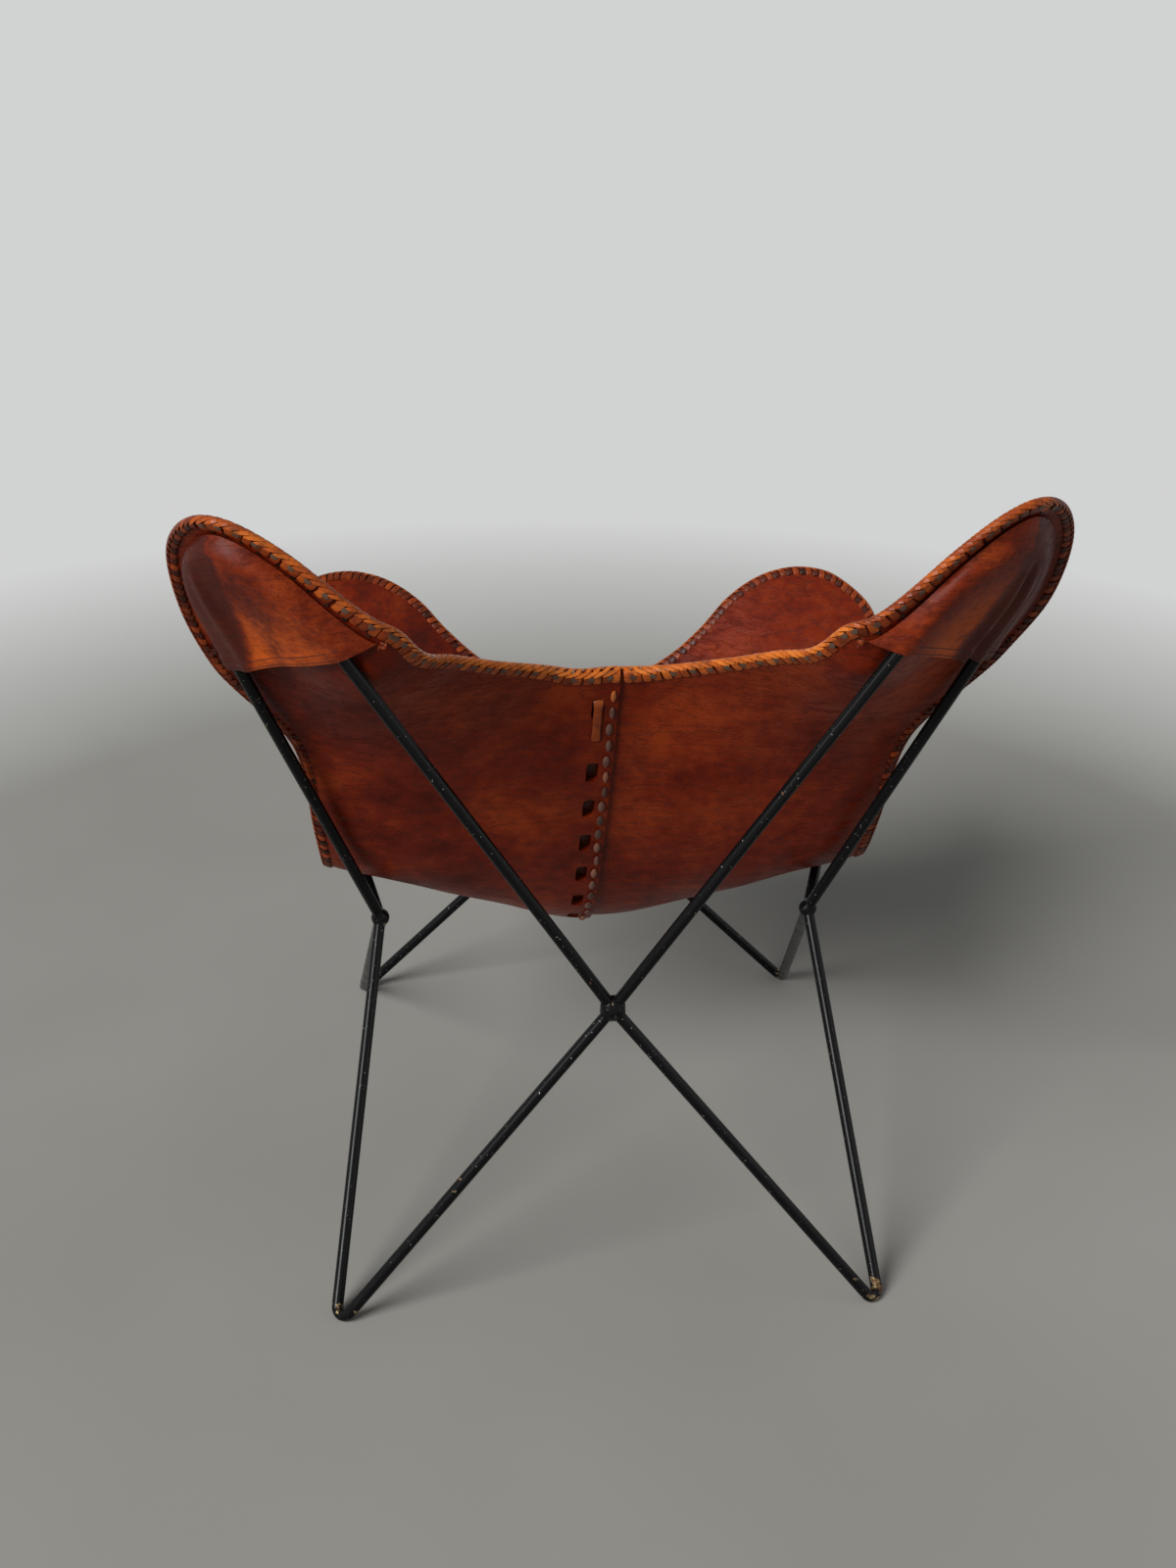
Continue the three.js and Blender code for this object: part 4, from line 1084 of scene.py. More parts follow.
@dataclass(frozen=True)
class LeatherFinish:
    """Waxed leather: mottled, creased, grained and scratched, under a soft polish, with painted
    shade in its creases and, on the pockets, painted light and shade.
    """

    name: str
    dark: tuple
    middle: tuple
    light: tuple
    # The colour of the dark specks, and of the painted shade along the creases.
    burn: tuple
    roughness: tuple = (0.3, 0.52)
    grain: float = 0.0003
    shine: float = 0.11
    coat: float = 0.05
    coat_roughness: float = 0.22
    mottle: float = 7.0
    speck_cells: float = 420.0
    crease_cells: float = 34.0
    crease_width: float = 0.03
    pore_cells: float = 620.0
    swell_cells: float = 26.0
    wrinkle_cells: float = 95.0
    # Painted light: the colour of a painted pool of light, and a dark colour that is partly a real
    # stain and partly painted shade, both laid on by the tone kept with each vertex.
    glow: tuple | None = None
    stain: tuple | None = None
    mottle_warp: float = 0.6
    fine_mottle: float = 9.0
    mottle_shares: tuple = (0.7, 0.3)
    colour_stops: tuple = (0.36, 0.5, 0.66)
    speck_range: tuple = (0.56, 0.7)
    speck_share: float = 0.45
    crease_stretch: tuple = (0.45, 1, 2.2)
    crease_roughness: float = 0.62
    # How much painted shade darkens the crease lines.
    crease_shade_share: float = 0.35
    crease_bump: tuple = (0.0008, 0.5)
    grain_strength: float = 0.35
    swell_stretch: tuple = (0.6, 1, 1.6)
    swell_bump: tuple = (0.004, 0.32)
    wrinkle_stretch: tuple = (0.4, 1, 1.8)
    wrinkle_warp: float = 1.2
    wrinkle_bump: tuple = (0.0012, 0.5)
    # How the mottle breaks up the painted pool of light.
    glow_range: tuple = (0.4, 0.56)
    glow_shares: tuple = (0.2, 0.9)
    gloss_cells: float = 15.0
    gloss_range: tuple = (0.35, 0.65)

    def build(self) -> bpy.types.Material:
        """Makes the material.

        Returns:
            The material.
        """
        sh = Shader(self.name)
        wide = sh.noise(self.mottle, 5, Distortion=self.mottle_warp)
        fine = sh.noise(self.mottle * self.fine_mottle, 6)
        wide_share, fine_share = self.mottle_shares
        blend = sh.math("ADD", sh.times(wide, wide_share), sh.times(fine, fine_share))
        stops = zip(self.colour_stops, (self.dark, self.middle, self.light))
        colour = sh.ramp(blend, *stops)
        specks = sh.noise(self.speck_cells)
        specks = sh.rescale(specks, *self.speck_range, 0.0, self.speck_share)
        colour = sh.mix(specks, colour, self.burn)
        creases = sh.noise(
            self.crease_cells, 8, self.crease_stretch, Roughness=self.crease_roughness
        )
        from_line = sh.math("ABSOLUTE", sh.math("SUBTRACT", creases, 0.5))
        crease_lines = sh.rescale(from_line, 0, self.crease_width, 1, 0)
        # Painted shade: the crease lines are darkened towards the speck colour, standing in for
        # shade in the creases.
        colour = sh.mix(sh.times(crease_lines, self.crease_shade_share), colour, self.burn)
        place_and_scale = {"Vector": sh.object_place, "Scale": self.pore_cells}
        pores = sh.add("ShaderNodeTexVoronoi", place_and_scale).outputs["Distance"]
        normal = sh.bump(pores, self.grain, self.grain_strength)
        normal = sh.bump(sh.times(crease_lines, -1.0), *self.crease_bump, normal)
        swells = sh.noise(self.swell_cells, 6, self.swell_stretch)
        normal = sh.bump(swells, *self.swell_bump, normal)
        wrinkles = sh.noise(
            self.wrinkle_cells, 5, self.wrinkle_stretch, Distortion=self.wrinkle_warp
        )
        normal = sh.bump(wrinkles, *self.wrinkle_bump, normal)
        # Painted light and shade: where the vertex tone is below 0 a painted pool of light
        # brightens the leather; where it is above 0 the leather darkens, partly a real stain and
        # partly painted shade.
        if self.stain:
            tone = sh.tone()
            mottled = sh.rescale(blend, *self.glow_range, *self.glow_shares)
            painted_light_mask = sh.times(sh.rescale(tone, -1, 0, 1, 0), mottled)
            colour = sh.mix(painted_light_mask, colour, self.glow)
            colour = sh.mix(sh.rescale(tone, 0, 1, 0, 1), colour, self.stain)
        gloss = sh.noise(self.gloss_cells, 5)
        sh.surface_input(
            Base_Color=colour,
            Roughness=sh.rescale(gloss, *self.gloss_range, *self.roughness),
            Specular_IOR_Level=self.shine,
            Coat_Weight=self.coat,
            Coat_Roughness=self.coat_roughness,
            Normal=normal,
        )
        return sh.material


@dataclass(frozen=True)
class ThongFinish:
    """Strands of leather or cord, each with a tone of its own and darker patches of soil; the
    lacing's gaps hold dark plugs of painted shade.
    """

    name: str
    tones: tuple
    soil: tuple
    roughness: tuple = (0.3, 0.52)
    fibre: float = 300.0
    drift: float = 0.22
    shine: float = 0.15
    coat: float = 0.12
    coat_roughness: float = 0.25
    drift_cells: float = 160.0
    soil_cells: float = 90.0
    soil_range: tuple = (0.5, 0.68)
    soil_share: float = 0.6
    gloss_cells: float = 70.0
    gloss_range: tuple = (0.35, 0.65)
    fibre_bump: tuple = (0.0005, 0.4)

    def build(self) -> bpy.types.Material:
        """Makes the material.

        Returns:
            The material.
        """
        sh = Shader(self.name)
        drift = sh.math("SUBTRACT", sh.noise(self.drift_cells), 0.5)
        drift = sh.times(drift, self.drift)
        colour = sh.ramp(sh.math("ADD", sh.tone(), drift), *self.tones)
        soiled = sh.noise(self.soil_cells, 6)
        soiled = sh.rescale(soiled, *self.soil_range, 0.0, self.soil_share)
        colour = sh.mix(soiled, colour, self.soil)
        gloss = sh.noise(self.gloss_cells)
        sh.surface_input(
            Base_Color=colour,
            Roughness=sh.rescale(gloss, *self.gloss_range, *self.roughness),
            Specular_IOR_Level=self.shine,
            Coat_Weight=self.coat,
            Coat_Roughness=self.coat_roughness,
            Normal=sh.bump(sh.noise(self.fibre), *self.fibre_bump),
        )
        return sh.material


BLACK_PAINT = PaintFinish(
    name="black_gloss_paint",
    paint=(0.004, 0.004, 0.0045),
    chip=(0.4, 0.39, 0.36),
    rust=(0.09, 0.04, 0.018),
    brass=(0.33, 0.25, 0.13),
    wear_height=0.06,
)
SADDLE = LeatherFinish(
    name="saddle_leather",
    dark=(0.08, 0.005, 0.001),
    middle=(0.17, 0.014, 0.002),
    light=(0.29, 0.036, 0.005),
    burn=(0.03, 0.003, 0.001),
)
POCKET = LeatherFinish(
    name="pocket_leather",
    dark=(0.1, 0.009, 0.0018),
    middle=(0.2, 0.022, 0.0035),
    light=(0.34, 0.052, 0.008),
    burn=(0.03, 0.003, 0.0015),
    roughness=(0.4, 0.56),
    shine=0.12,
    coat_roughness=0.3,
    mottle=16.0,
    # A painted pool of light near the hem, and a dark colour over the outer flank that is partly
    # stain and partly painted shade.
    glow=(0.6, 0.1, 0.008),
    stain=(0.045, 0.007, 0.005),
)
# Its darkest stop gives the dark plugs of painted shade at the holes.
LACING = ThongFinish(
    name="lacing_leather",
    tones=(
        (0.0, (0.004, 0.002, 0.001)),
        (0.2, (0.08, 0.011, 0.003)),
        (0.42, (0.3, 0.046, 0.007)),
        (0.62, (0.55, 0.115, 0.014)),
        (0.82, (0.8, 0.22, 0.03)),
        (0.97, (0.9, 0.36, 0.07)),
        (1.0, (0.13, 0.075, 0.05)),
    ),
    soil=(0.08, 0.016, 0.007),
)
# Its darkest stop is painted shade, for the strap seen through the slots.
THONG = ThongFinish(
    name="thong_leather",
    tones=((0.0, (0.05, 0.009, 0.004)), (0.5, (0.26, 0.046, 0.009)), (1.0, (0.42, 0.11, 0.022))),
    soil=(0.1, 0.02, 0.008),
)
WAXED_CORD = ThongFinish(
    name="waxed_cord",
    tones=((0.0, (0.025, 0.01, 0.008)), (0.5, (0.2, 0.1, 0.075)), (1.0, (0.5, 0.13, 0.03))),
    soil=(0.09, 0.025, 0.014),
    fibre=700.0,
)


# Frame


class RodFrame:
    """The welded frame: four leg bends, four ear rods and the four knuckles that join them."""

    foot_rings = 25
    leg_rings = 12
    ear_rings = 49
    stem_rings = 14
    settling_rounds = 4
    rod_sides = 24
    ball_subdivisions = 5

    def __init__(self, paint: bpy.types.Material) -> None:
        """Takes the paint for all its pieces.

        Args:
            paint: the paint.
        """
        self.paint = paint
        self.back_cross = place(*FRAME.back_cross)
        self.front_cross = place(*FRAME.front_cross)

    def foot_path(self, start: Array, corner: Array, end: Array) -> Array:
        """Line of a leg from one crossing round its foot to another.

        Args:
            start: the crossing it starts from.
            corner: where its two straights would meet.
            end: the crossing it ends at.

        Returns:
            Its points, in millimetres.
        """
        one, other = unit(start - corner), unit(end - corner)
        half = math.acos(float(one @ other)) / 2
        centre = corner + unit(one + other) * FRAME.foot_bend_radius / math.sin(half)
        reach = FRAME.foot_bend_radius / math.tan(half)
        first, last = corner + one * reach - centre, corner + other * reach - centre
        sweep = math.pi - 2 * half
        t = np.linspace(0, 1, self.foot_rings)[:, None]
        arc = first * np.sin((1 - t) * sweep) + last * np.sin(t * sweep)
        arc = centre + arc / math.sin(sweep)
        t = np.linspace(0, 1, self.leg_rings, endpoint=False)[:, None]
        up_again = arc[-1] + (end - arc[-1]) * (1 - t[::-1])
        return np.vstack([start + (arc[0] - start) * t, arc, up_again])

    def leg_path(self, crossing: Array, half_spread: float, depth: float) -> Array:
        """Line of a leg whose foot rests on the floor.

        Args:
            crossing: the crossing it starts from.
            half_spread: the foot's distance from the middle.
            depth: the foot's distance from the back feet.

        Returns:
            Its points, in millimetres.
        """
        corner = place(half_spread, depth, FRAME.foot_height)
        for _ in range(self.settling_rounds):
            path = self.foot_path(crossing, corner, SIDE_CROSS)
            corner = corner + UP * (FRAME.foot_height - path[:, 2].min())
        return self.foot_path(crossing, corner, SIDE_CROSS)

    def ear_path(self, ear: Ear) -> Array:
        """Line of an ear rod from its crossing over the ear to the side crossing.

        Args:
            ear: the ear.

        Returns:
            Its points, in millimetres.
        """
        t = np.linspace(0, 1, self.stem_rings, endpoint=False)[:, None]
        bend = ear.bend(np.linspace(0, 1, self.ear_rings))[0]
        rise = ear.crossing + (ear.inner - ear.crossing) * t
        fall = ear.side_cross + (ear.outer - ear.side_cross) * t
        return np.vstack([rise, bend, fall[::-1]])

    def build_rod(self, name: str, path: Array) -> None:
        """Makes one rod with a flat where it rests on the floor.

        Args:
            name: the CAD node it stands for.
            path: its line.
        """
        bm = bmesh.new()
        middle, thickness = path[len(path) // 2], 2 * FRAME.rod_radius
        turn = np.cross(path[0] - middle, path[-1] - middle)
        across = np.broadcast_to(unit(turn), (1, *path.shape))
        Strands(path[None], across, thickness, thickness, sides=self.rod_sides).add_to(bm)
        for vert in bm.verts:
            vert.co.z = max(vert.co.z, 0)
        new_piece(f"painted_{name}", bm, self.paint, "painted_steel", name)

    def build_knuckle(self, name: str, centre: Array, ends: list[Array], ground: float) -> None:
        """Makes one ball of weld, with lumps where the rods enter it.

        Args:
            name: the CAD node it stands for.
            centre: the middle of the joint.
            ends: a place on each rod that meets there.
            ground: how much the weld is ground down, in millimetres.
        """
        bm = bmesh.new()
        bmesh.ops.create_icosphere(bm, subdivisions=self.ball_subdivisions, radius=1)
        directions = [unit(end - centre) for end in ends]
        collar_place, collar_width, collar_height = FRAME.weld_collar
        for vert in bm.verts:
            way = np.array(vert.co[:])
            near = max(float(way @ one) for one in directions)
            collar = float(bump_at(np.array(near), collar_place, collar_width)) * collar_height
            turn = way * FRAME.ripple_turns
            ripple = math.sin(turn[0] + turn[1]) * math.sin(turn[2]) * FRAME.ripple_height
            reach = FRAME.knuckle_radius - ground + collar + ripple
            vert.co = to_frame(centre + way * reach)
        new_piece(f"painted_{name}", bm, self.paint, "painted_steel", name)

    def build(self) -> None:
        """Makes every rod and knuckle."""
        back_leg = self.leg_path(self.back_cross, FRAME.back_feet_spread / 2, 0)
        front_leg = self.leg_path(self.front_cross, FRAME.front_feet_spread / 2, FRAME.feet_depth)
        lines = {
            "back_leg_bend": back_leg,
            "front_leg_bend": front_leg,
            "back_ear_rod": self.ear_path(BACK_EAR),
            "front_ear_rod": self.ear_path(FRONT_EAR),
        }
        feet = [path[np.argmin(path[:, 2])] for path in (back_leg, front_leg)]
        for side in Side:
            mirror = np.array([side.value, 1, 1])
            for name, path in lines.items():
                self.build_rod(f"{name}_{side.word}", path * mirror)
            ends = [end * mirror for end in (*feet, BACK_EAR.outer, FRONT_EAR.outer)]
            name, centre = f"side_weld_knuckle_{side.word}", SIDE_CROSS * mirror
            self.build_knuckle(name, centre, ends, FRAME.side_weld_ground)
        for word, cross, foot, ear in (
            ("back", self.back_cross, feet[0], BACK_EAR),
            ("front", self.front_cross, feet[1], FRONT_EAR),
        ):
            ends = [end * [sign, 1, 1] for end in (foot, ear.inner) for sign in (1, -1)]
            self.build_knuckle(f"{word}_weld_knuckle", cross, ends, FRAME.end_weld_ground)


# Sling


@dataclass(frozen=True)
class SpineSizes:
    """The slots down the seam, the strap through them and the stitches beside them.

    The strap's tones are those behind the slots, darkest as painted shade, at the start and end of
    its fold, and of its tail. The stitches' spread is of their width, and their stray is how far a
    wide one moves.
    """

    tail_slot: float = 46.0
    slot_first: float = 133.0
    slot_pitch: float = 54.0
    slot_count: int = 8
    slot_width: float = 10.0
    slot_length: float = 24.0
    strap_width: float = 8.6
    inside_width: float = 14.0
    fold_width: float = 9.6
    strap_gap: float = 0.4
    strap_thickness: float = 2.0
    tail_length: float = 46.0
    strap_tones: tuple = (0.0, 0.9, 0.6, 0.5)
    strap_waver: float = 0.25
    strap_wave: float = 0.9
    strap_sides: int = 10
    fold_clear: float = 0.55
    end_length: float = 20.0
    stitch_offset: float = -13.0
    stitch_first: float = 22.0
    stitch_pitch: float = 22.0
    stitch_count: int = 32
    stitch_share: float = 0.62
    stitch_width: float = 6.4
    stitch_height: float = 3.6
    stitch_lift: float = 1.8
    stitch_back_share: float = 0.1
    stitch_swell: tuple = (0.08, 0.92)
    stitch_fullness: float = 0.6
    stitch_sides: int = 8
    stitch_end_gap: float = 20.0
    stitch_tones: tuple = (0.15, 0.65)
    stitch_spread: tuple = (0.8, 1.15)
    stitch_stray: float = 6.0

    @property
    def slots(self) -> list[float]:
        """Middle of each slot, by its distance from the back edge along the leather."""
        more = [self.slot_first + self.slot_pitch * number for number in range(self.slot_count)]
        return [self.tail_slot, *more]


SPINE = SpineSizes()


class Seam:
    """The line down the middle of the overlap, measured along the leather."""

    samples = 400

    def __init__(self) -> None:
        """Measures the line."""
        along = np.linspace(BACK_EDGE_ALONG, FRONT_EDGE_ALONG, self.samples)
        seam = seam_at(along)
        left = SHEET.point(np.stack([seam + HALF_OVERLAP, along], axis=1))
        right = SHEET.point(np.stack([seam - HALF_OVERLAP, along], axis=1))
        self.middle = (left + right) / 2
        self.across = unit(left - right)
        down = unit(np.gradient(self.middle, axis=0))
        self.normal = unit(np.cross(down, self.across))
        self.travelled = travel_along(self.middle)
        self.length = float(self.travelled[-1])

    def share_at(self, travelled: Array) -> Array:
        """Share of the way down the seam at distances along the leather."""
        return np.interp(travelled, self.travelled, np.linspace(0, 1, self.samples))

    def frame_at(self, travelled: Array) -> tuple[Array, Array, Array]:
        """Points of the seam at distances, with the ways across it and towards the sitter.

        Args:
            travelled: the distances.

        Returns:
            The points, the ways across and the ways towards the sitter.
        """
        lines = (self.middle, self.across, self.normal)
        point, across, normal = (points_at(travelled, self.travelled, line) for line in lines)
        return point, unit(across), unit(normal)

    def at(self, travelled: Array, offset: Array, lift: Array) -> Array:
        """Points beside the seam, at an offset across it and a lift towards the sitter.

        Args:
            travelled: distances along the seam.
            offset: distance across it.
            lift: distance off it.

        Returns:
            The points, in millimetres.
        """
        point, across, normal = self.frame_at(np.asarray(travelled, float))
        offset, lift = (np.broadcast_to(one, point.shape[:-1])[..., None] for one in (offset, lift))
        return point + across * offset + normal * lift


SEAM = Seam()


@dataclass(frozen=True)
class WrinkleSizes:
    """Shallow folds of the leather, in millimetres.

    Side folds run across the half's side and back folds slant down its back. A place is a
    middle and a width; for the back folds the middle is a share of the way to the back edge.
    The eases say over what reach the folds fade out.
    """

    side_length: float = 21.0
    side_sway: tuple = (60.0, 2.0)
    side_place: tuple = (175.0, 60.0)
    side_height: float = 0.5
    back_length: float = 26.0
    back_slant: float = 0.6
    back_place: tuple = (0.55, 90.0)
    back_height: float = 0.7
    seam_ease: float = 50.0
    end_ease: float = 0.06
    rim_ease: float = 1.2


WRINKLES = WrinkleSizes()


class Panel:
    """One half of the sling: a leather sheet, cut with the slots of the seam."""

    columns_beyond = 70
    rows_evenly = 150
    rows_in_slot = 7
    clear_of_slot = 0.003
    lip_rounds = 2
    lip_ease = 0.4
    band_shares = ((0, 0.12, 0.25), (0.75, 0.88))

    def __init__(self, half: Half, leather: bpy.types.Material) -> None:
        """Takes the half it covers and its leather.

        Args:
            half: the half it covers.
            leather: its finish.
        """
        self.half = half
        self.leather = leather
        slot = SPINE.slot_width / 2 / SLING.overlap
        self.slot_columns = (0.5 - slot, 0.5 + slot)
        slot_lines = (0.5 - slot, 0.5 - slot / 2, 0.5, 0.5 + slot / 2, 0.5 + slot)
        before, after = self.band_shares
        band = (*before, *slot_lines, *after)
        self.columns = np.append(band, np.linspace(1, BACK_TIP, self.columns_beyond))
        reach = SPINE.slot_length / 2
        cuts = [
            SEAM.share_at(np.linspace(middle - reach, middle + reach, self.rows_in_slot))
            for middle in SPINE.slots
        ]
        self.slot_rows = [(cut[0], cut[-1]) for cut in cuts]
        rows = np.linspace(0, 1, self.rows_evenly)
        gap = self.clear_of_slot
        clear = [not any(a - gap < row < b + gap for a, b in self.slot_rows) for row in rows]
        self.rows = np.sort(np.concatenate([rows[clear], *cuts]))

    def wrinkle(self, chart: Array) -> Array:
        """Shallow folds where the leather is drawn towards the ears, none at its rim or seam.

        Args:
            chart: places across and along.

        Returns:
            The lift at each place, in millimetres.
        """
        x, y = chart[:, 0] * self.half.sign, chart[:, 1]
        sizes = WRINKLES
        sway_length, sway = sizes.side_sway
        waves = np.sin(y / sizes.side_length + np.sin(x / sway_length) * sway)
        folds = waves * bump_at(x, *sizes.side_place) * sizes.side_height
        middle, width = sizes.back_place
        waves = np.sin((x + y * sizes.back_slant) / sizes.back_length)
        folds += waves * bump_at(y, BACK_EDGE_ALONG * middle, width) * sizes.back_height
        beside_seam = np.abs(x - seam_at(y)) - HALF_OVERLAP
        return folds * smooth_step(beside_seam / sizes.seam_ease)

    def in_slot(self, column: float, row: float) -> bool:
        """Whether a place of the grid lies in a slot."""
        low, high = self.slot_columns
        return low < column < high and any(a < row < b for a, b in self.slot_rows)

    def build(self) -> bpy.types.Object:
        """Makes the sheet and notes the area it is cut from.

        Returns:
            The finished piece.
        """
        half = self.half
        chart = half.chart_grid(self.columns, self.rows).reshape(-1, 2)
        lift = half.step_aside * half.shift(chart) + self.wrinkle(chart) * self.rim_mask()
        points = half.mirror(SHEET.point(chart, lift))
        bm = bmesh.new()
        verts = grid_points(bm, points.reshape(len(self.rows), len(self.columns), 3))
        width = len(self.columns)
        row_of = {vert: self.rows[index // width] for index, vert in enumerate(verts)}
        column_of = {vert: self.columns[index % width] for index, vert in enumerate(verts)}
        cut = [
            face for face in bm.faces
            if self.in_slot(
                sum(column_of[v] for v in face.verts) / 4, sum(row_of[v] for v in face.verts) / 4
            )
        ]
        corners = {vert for face in cut for vert in face.verts}
        bmesh.ops.delete(bm, geom=cut, context="FACES")
        lip = [vert for vert in corners if vert.is_valid and vert.is_boundary]
        for _ in range(self.lip_rounds):
            bmesh.ops.smooth_vert(
                bm, verts=lip, factor=self.lip_ease,
                use_axis_x=True, use_axis_y=True, use_axis_z=True,
            )
        area = sum(face.calc_area() for face in bm.faces)
        thicken(bm, SLING.leather)
        word = half.side.word
        piece = new_piece(
            f"leather_panel_{word}", bm, self.leather, "saddle_leather", f"sling_panel_{word}"
        )
        piece["flat_area"] = area
        return piece

    def rim_mask(self) -> Array:
        """How much each place of the grid may wrinkle: not at all at the rim.

        Returns:
            A share for each place, row by row.
        """
        by_row = smooth_step(np.minimum(self.rows, 1 - self.rows) / WRINKLES.end_ease)
        by_column = smooth_step((BACK_TIP - self.columns) / WRINKLES.rim_ease)
        return (by_row[:, None] * by_column[None]).ravel()


@dataclass(frozen=True)
class Braid:
    """How a stretch of the rim is laced, in millimetres and shares of the colour range."""

    tone: float
    crest_shade: float = 0.2
    contrast: float = 0.07
    pitch: float = 9.3
    width: float = 8.9
    thickness: float = 2.0
    cover: float = 10.0
    crest: float = 0.4
    crest_width: float = 4.5
    crest_lean: float = 3.0
    lean: float = 0.3
    faces: bool = False
    holes: bool = False


BACK_BRAID = Braid(tone=0.48, crest_shade=0.24, faces=True)
BACK_INNER_BRAIDS = {
    Side.LEFT: Braid(tone=0.43, crest_shade=0.16, cover=10.5, faces=True, holes=True),
    Side.RIGHT: Braid(tone=0.35, crest_shade=0.16, cover=10.5, faces=True, holes=True),
}
BACK_OUTER_BRAID = Braid(tone=0.25, crest_shade=0.08, pitch=8.4, width=7.4, cover=6.6, lean=1.6)
SIDE_BRAID = Braid(tone=0.23, crest_shade=0.08, pitch=8.4, width=7.2, cover=7.0, lean=1.6)
FRONT_BRAID = Braid(tone=0.28, crest_shade=0.2, pitch=8.6, width=7.6, cover=8.0, lean=1.4)


def run_over_rim(course: tuple, reach: float, lift: float) -> tuple:
    """Places of a strand across the rim: each in from the rim and off the middle of the leather.

    Args:
        course: for each place a share of the reach and a step, a share of the lift and a step.
        reach: how far in from the rim the strand goes.
        lift: how far off the leather it lies.

    Returns:
        The places, as (inset, lift), in millimetres.
    """
    return tuple((a * reach + b, c * lift + d) for a, b, c, d in course)


WRAP_COURSE = (
    (1, 1.2, 1, -2.4), (1, -0.8, 1, -0.3), (0.5, 0, 1, 0.3), (0, 1.2, 1, 0.2),
    (0, -1.5, 0.6, 0), (0, -2.4, 0, 0.2),
)
CREST_COURSE = (
    (0, 1.2, 1, -0.4), (0, -0.6, 0.95, 0), (0, -2.2, 0.65, 0), (0, -3.2, 0.2, 0),
    (0, -3.3, -0.2, 0), (0, -2.8, -0.6, 0), (0, -1.5, -0.92, 0), (1, 0, -1, 0.1),
)
FACE_COURSE = ((1, -0.4, -1, 0), (1, 1.4, -1, 0), (1, 3.4, -1, 0), (1, 5.0, -1, 0))
HOLE_COURSE = ((1, 1.6, -1, 0.6), (1, 1.6, -1, -0.9), (1, 1.6, -1, -1.3))
WRAP_SWELL = (0.6, 0.93, 1, 0.97, 0.9, 0.85)
CREST_SWELL = (0.3, 0.75, 1, 1, 1, 0.95, 0.8, 0.3)
FACE_SWELL = (0.7, 1, 0.9, 0.5)
HOLE_SWELL = (1, 1, 0.9)


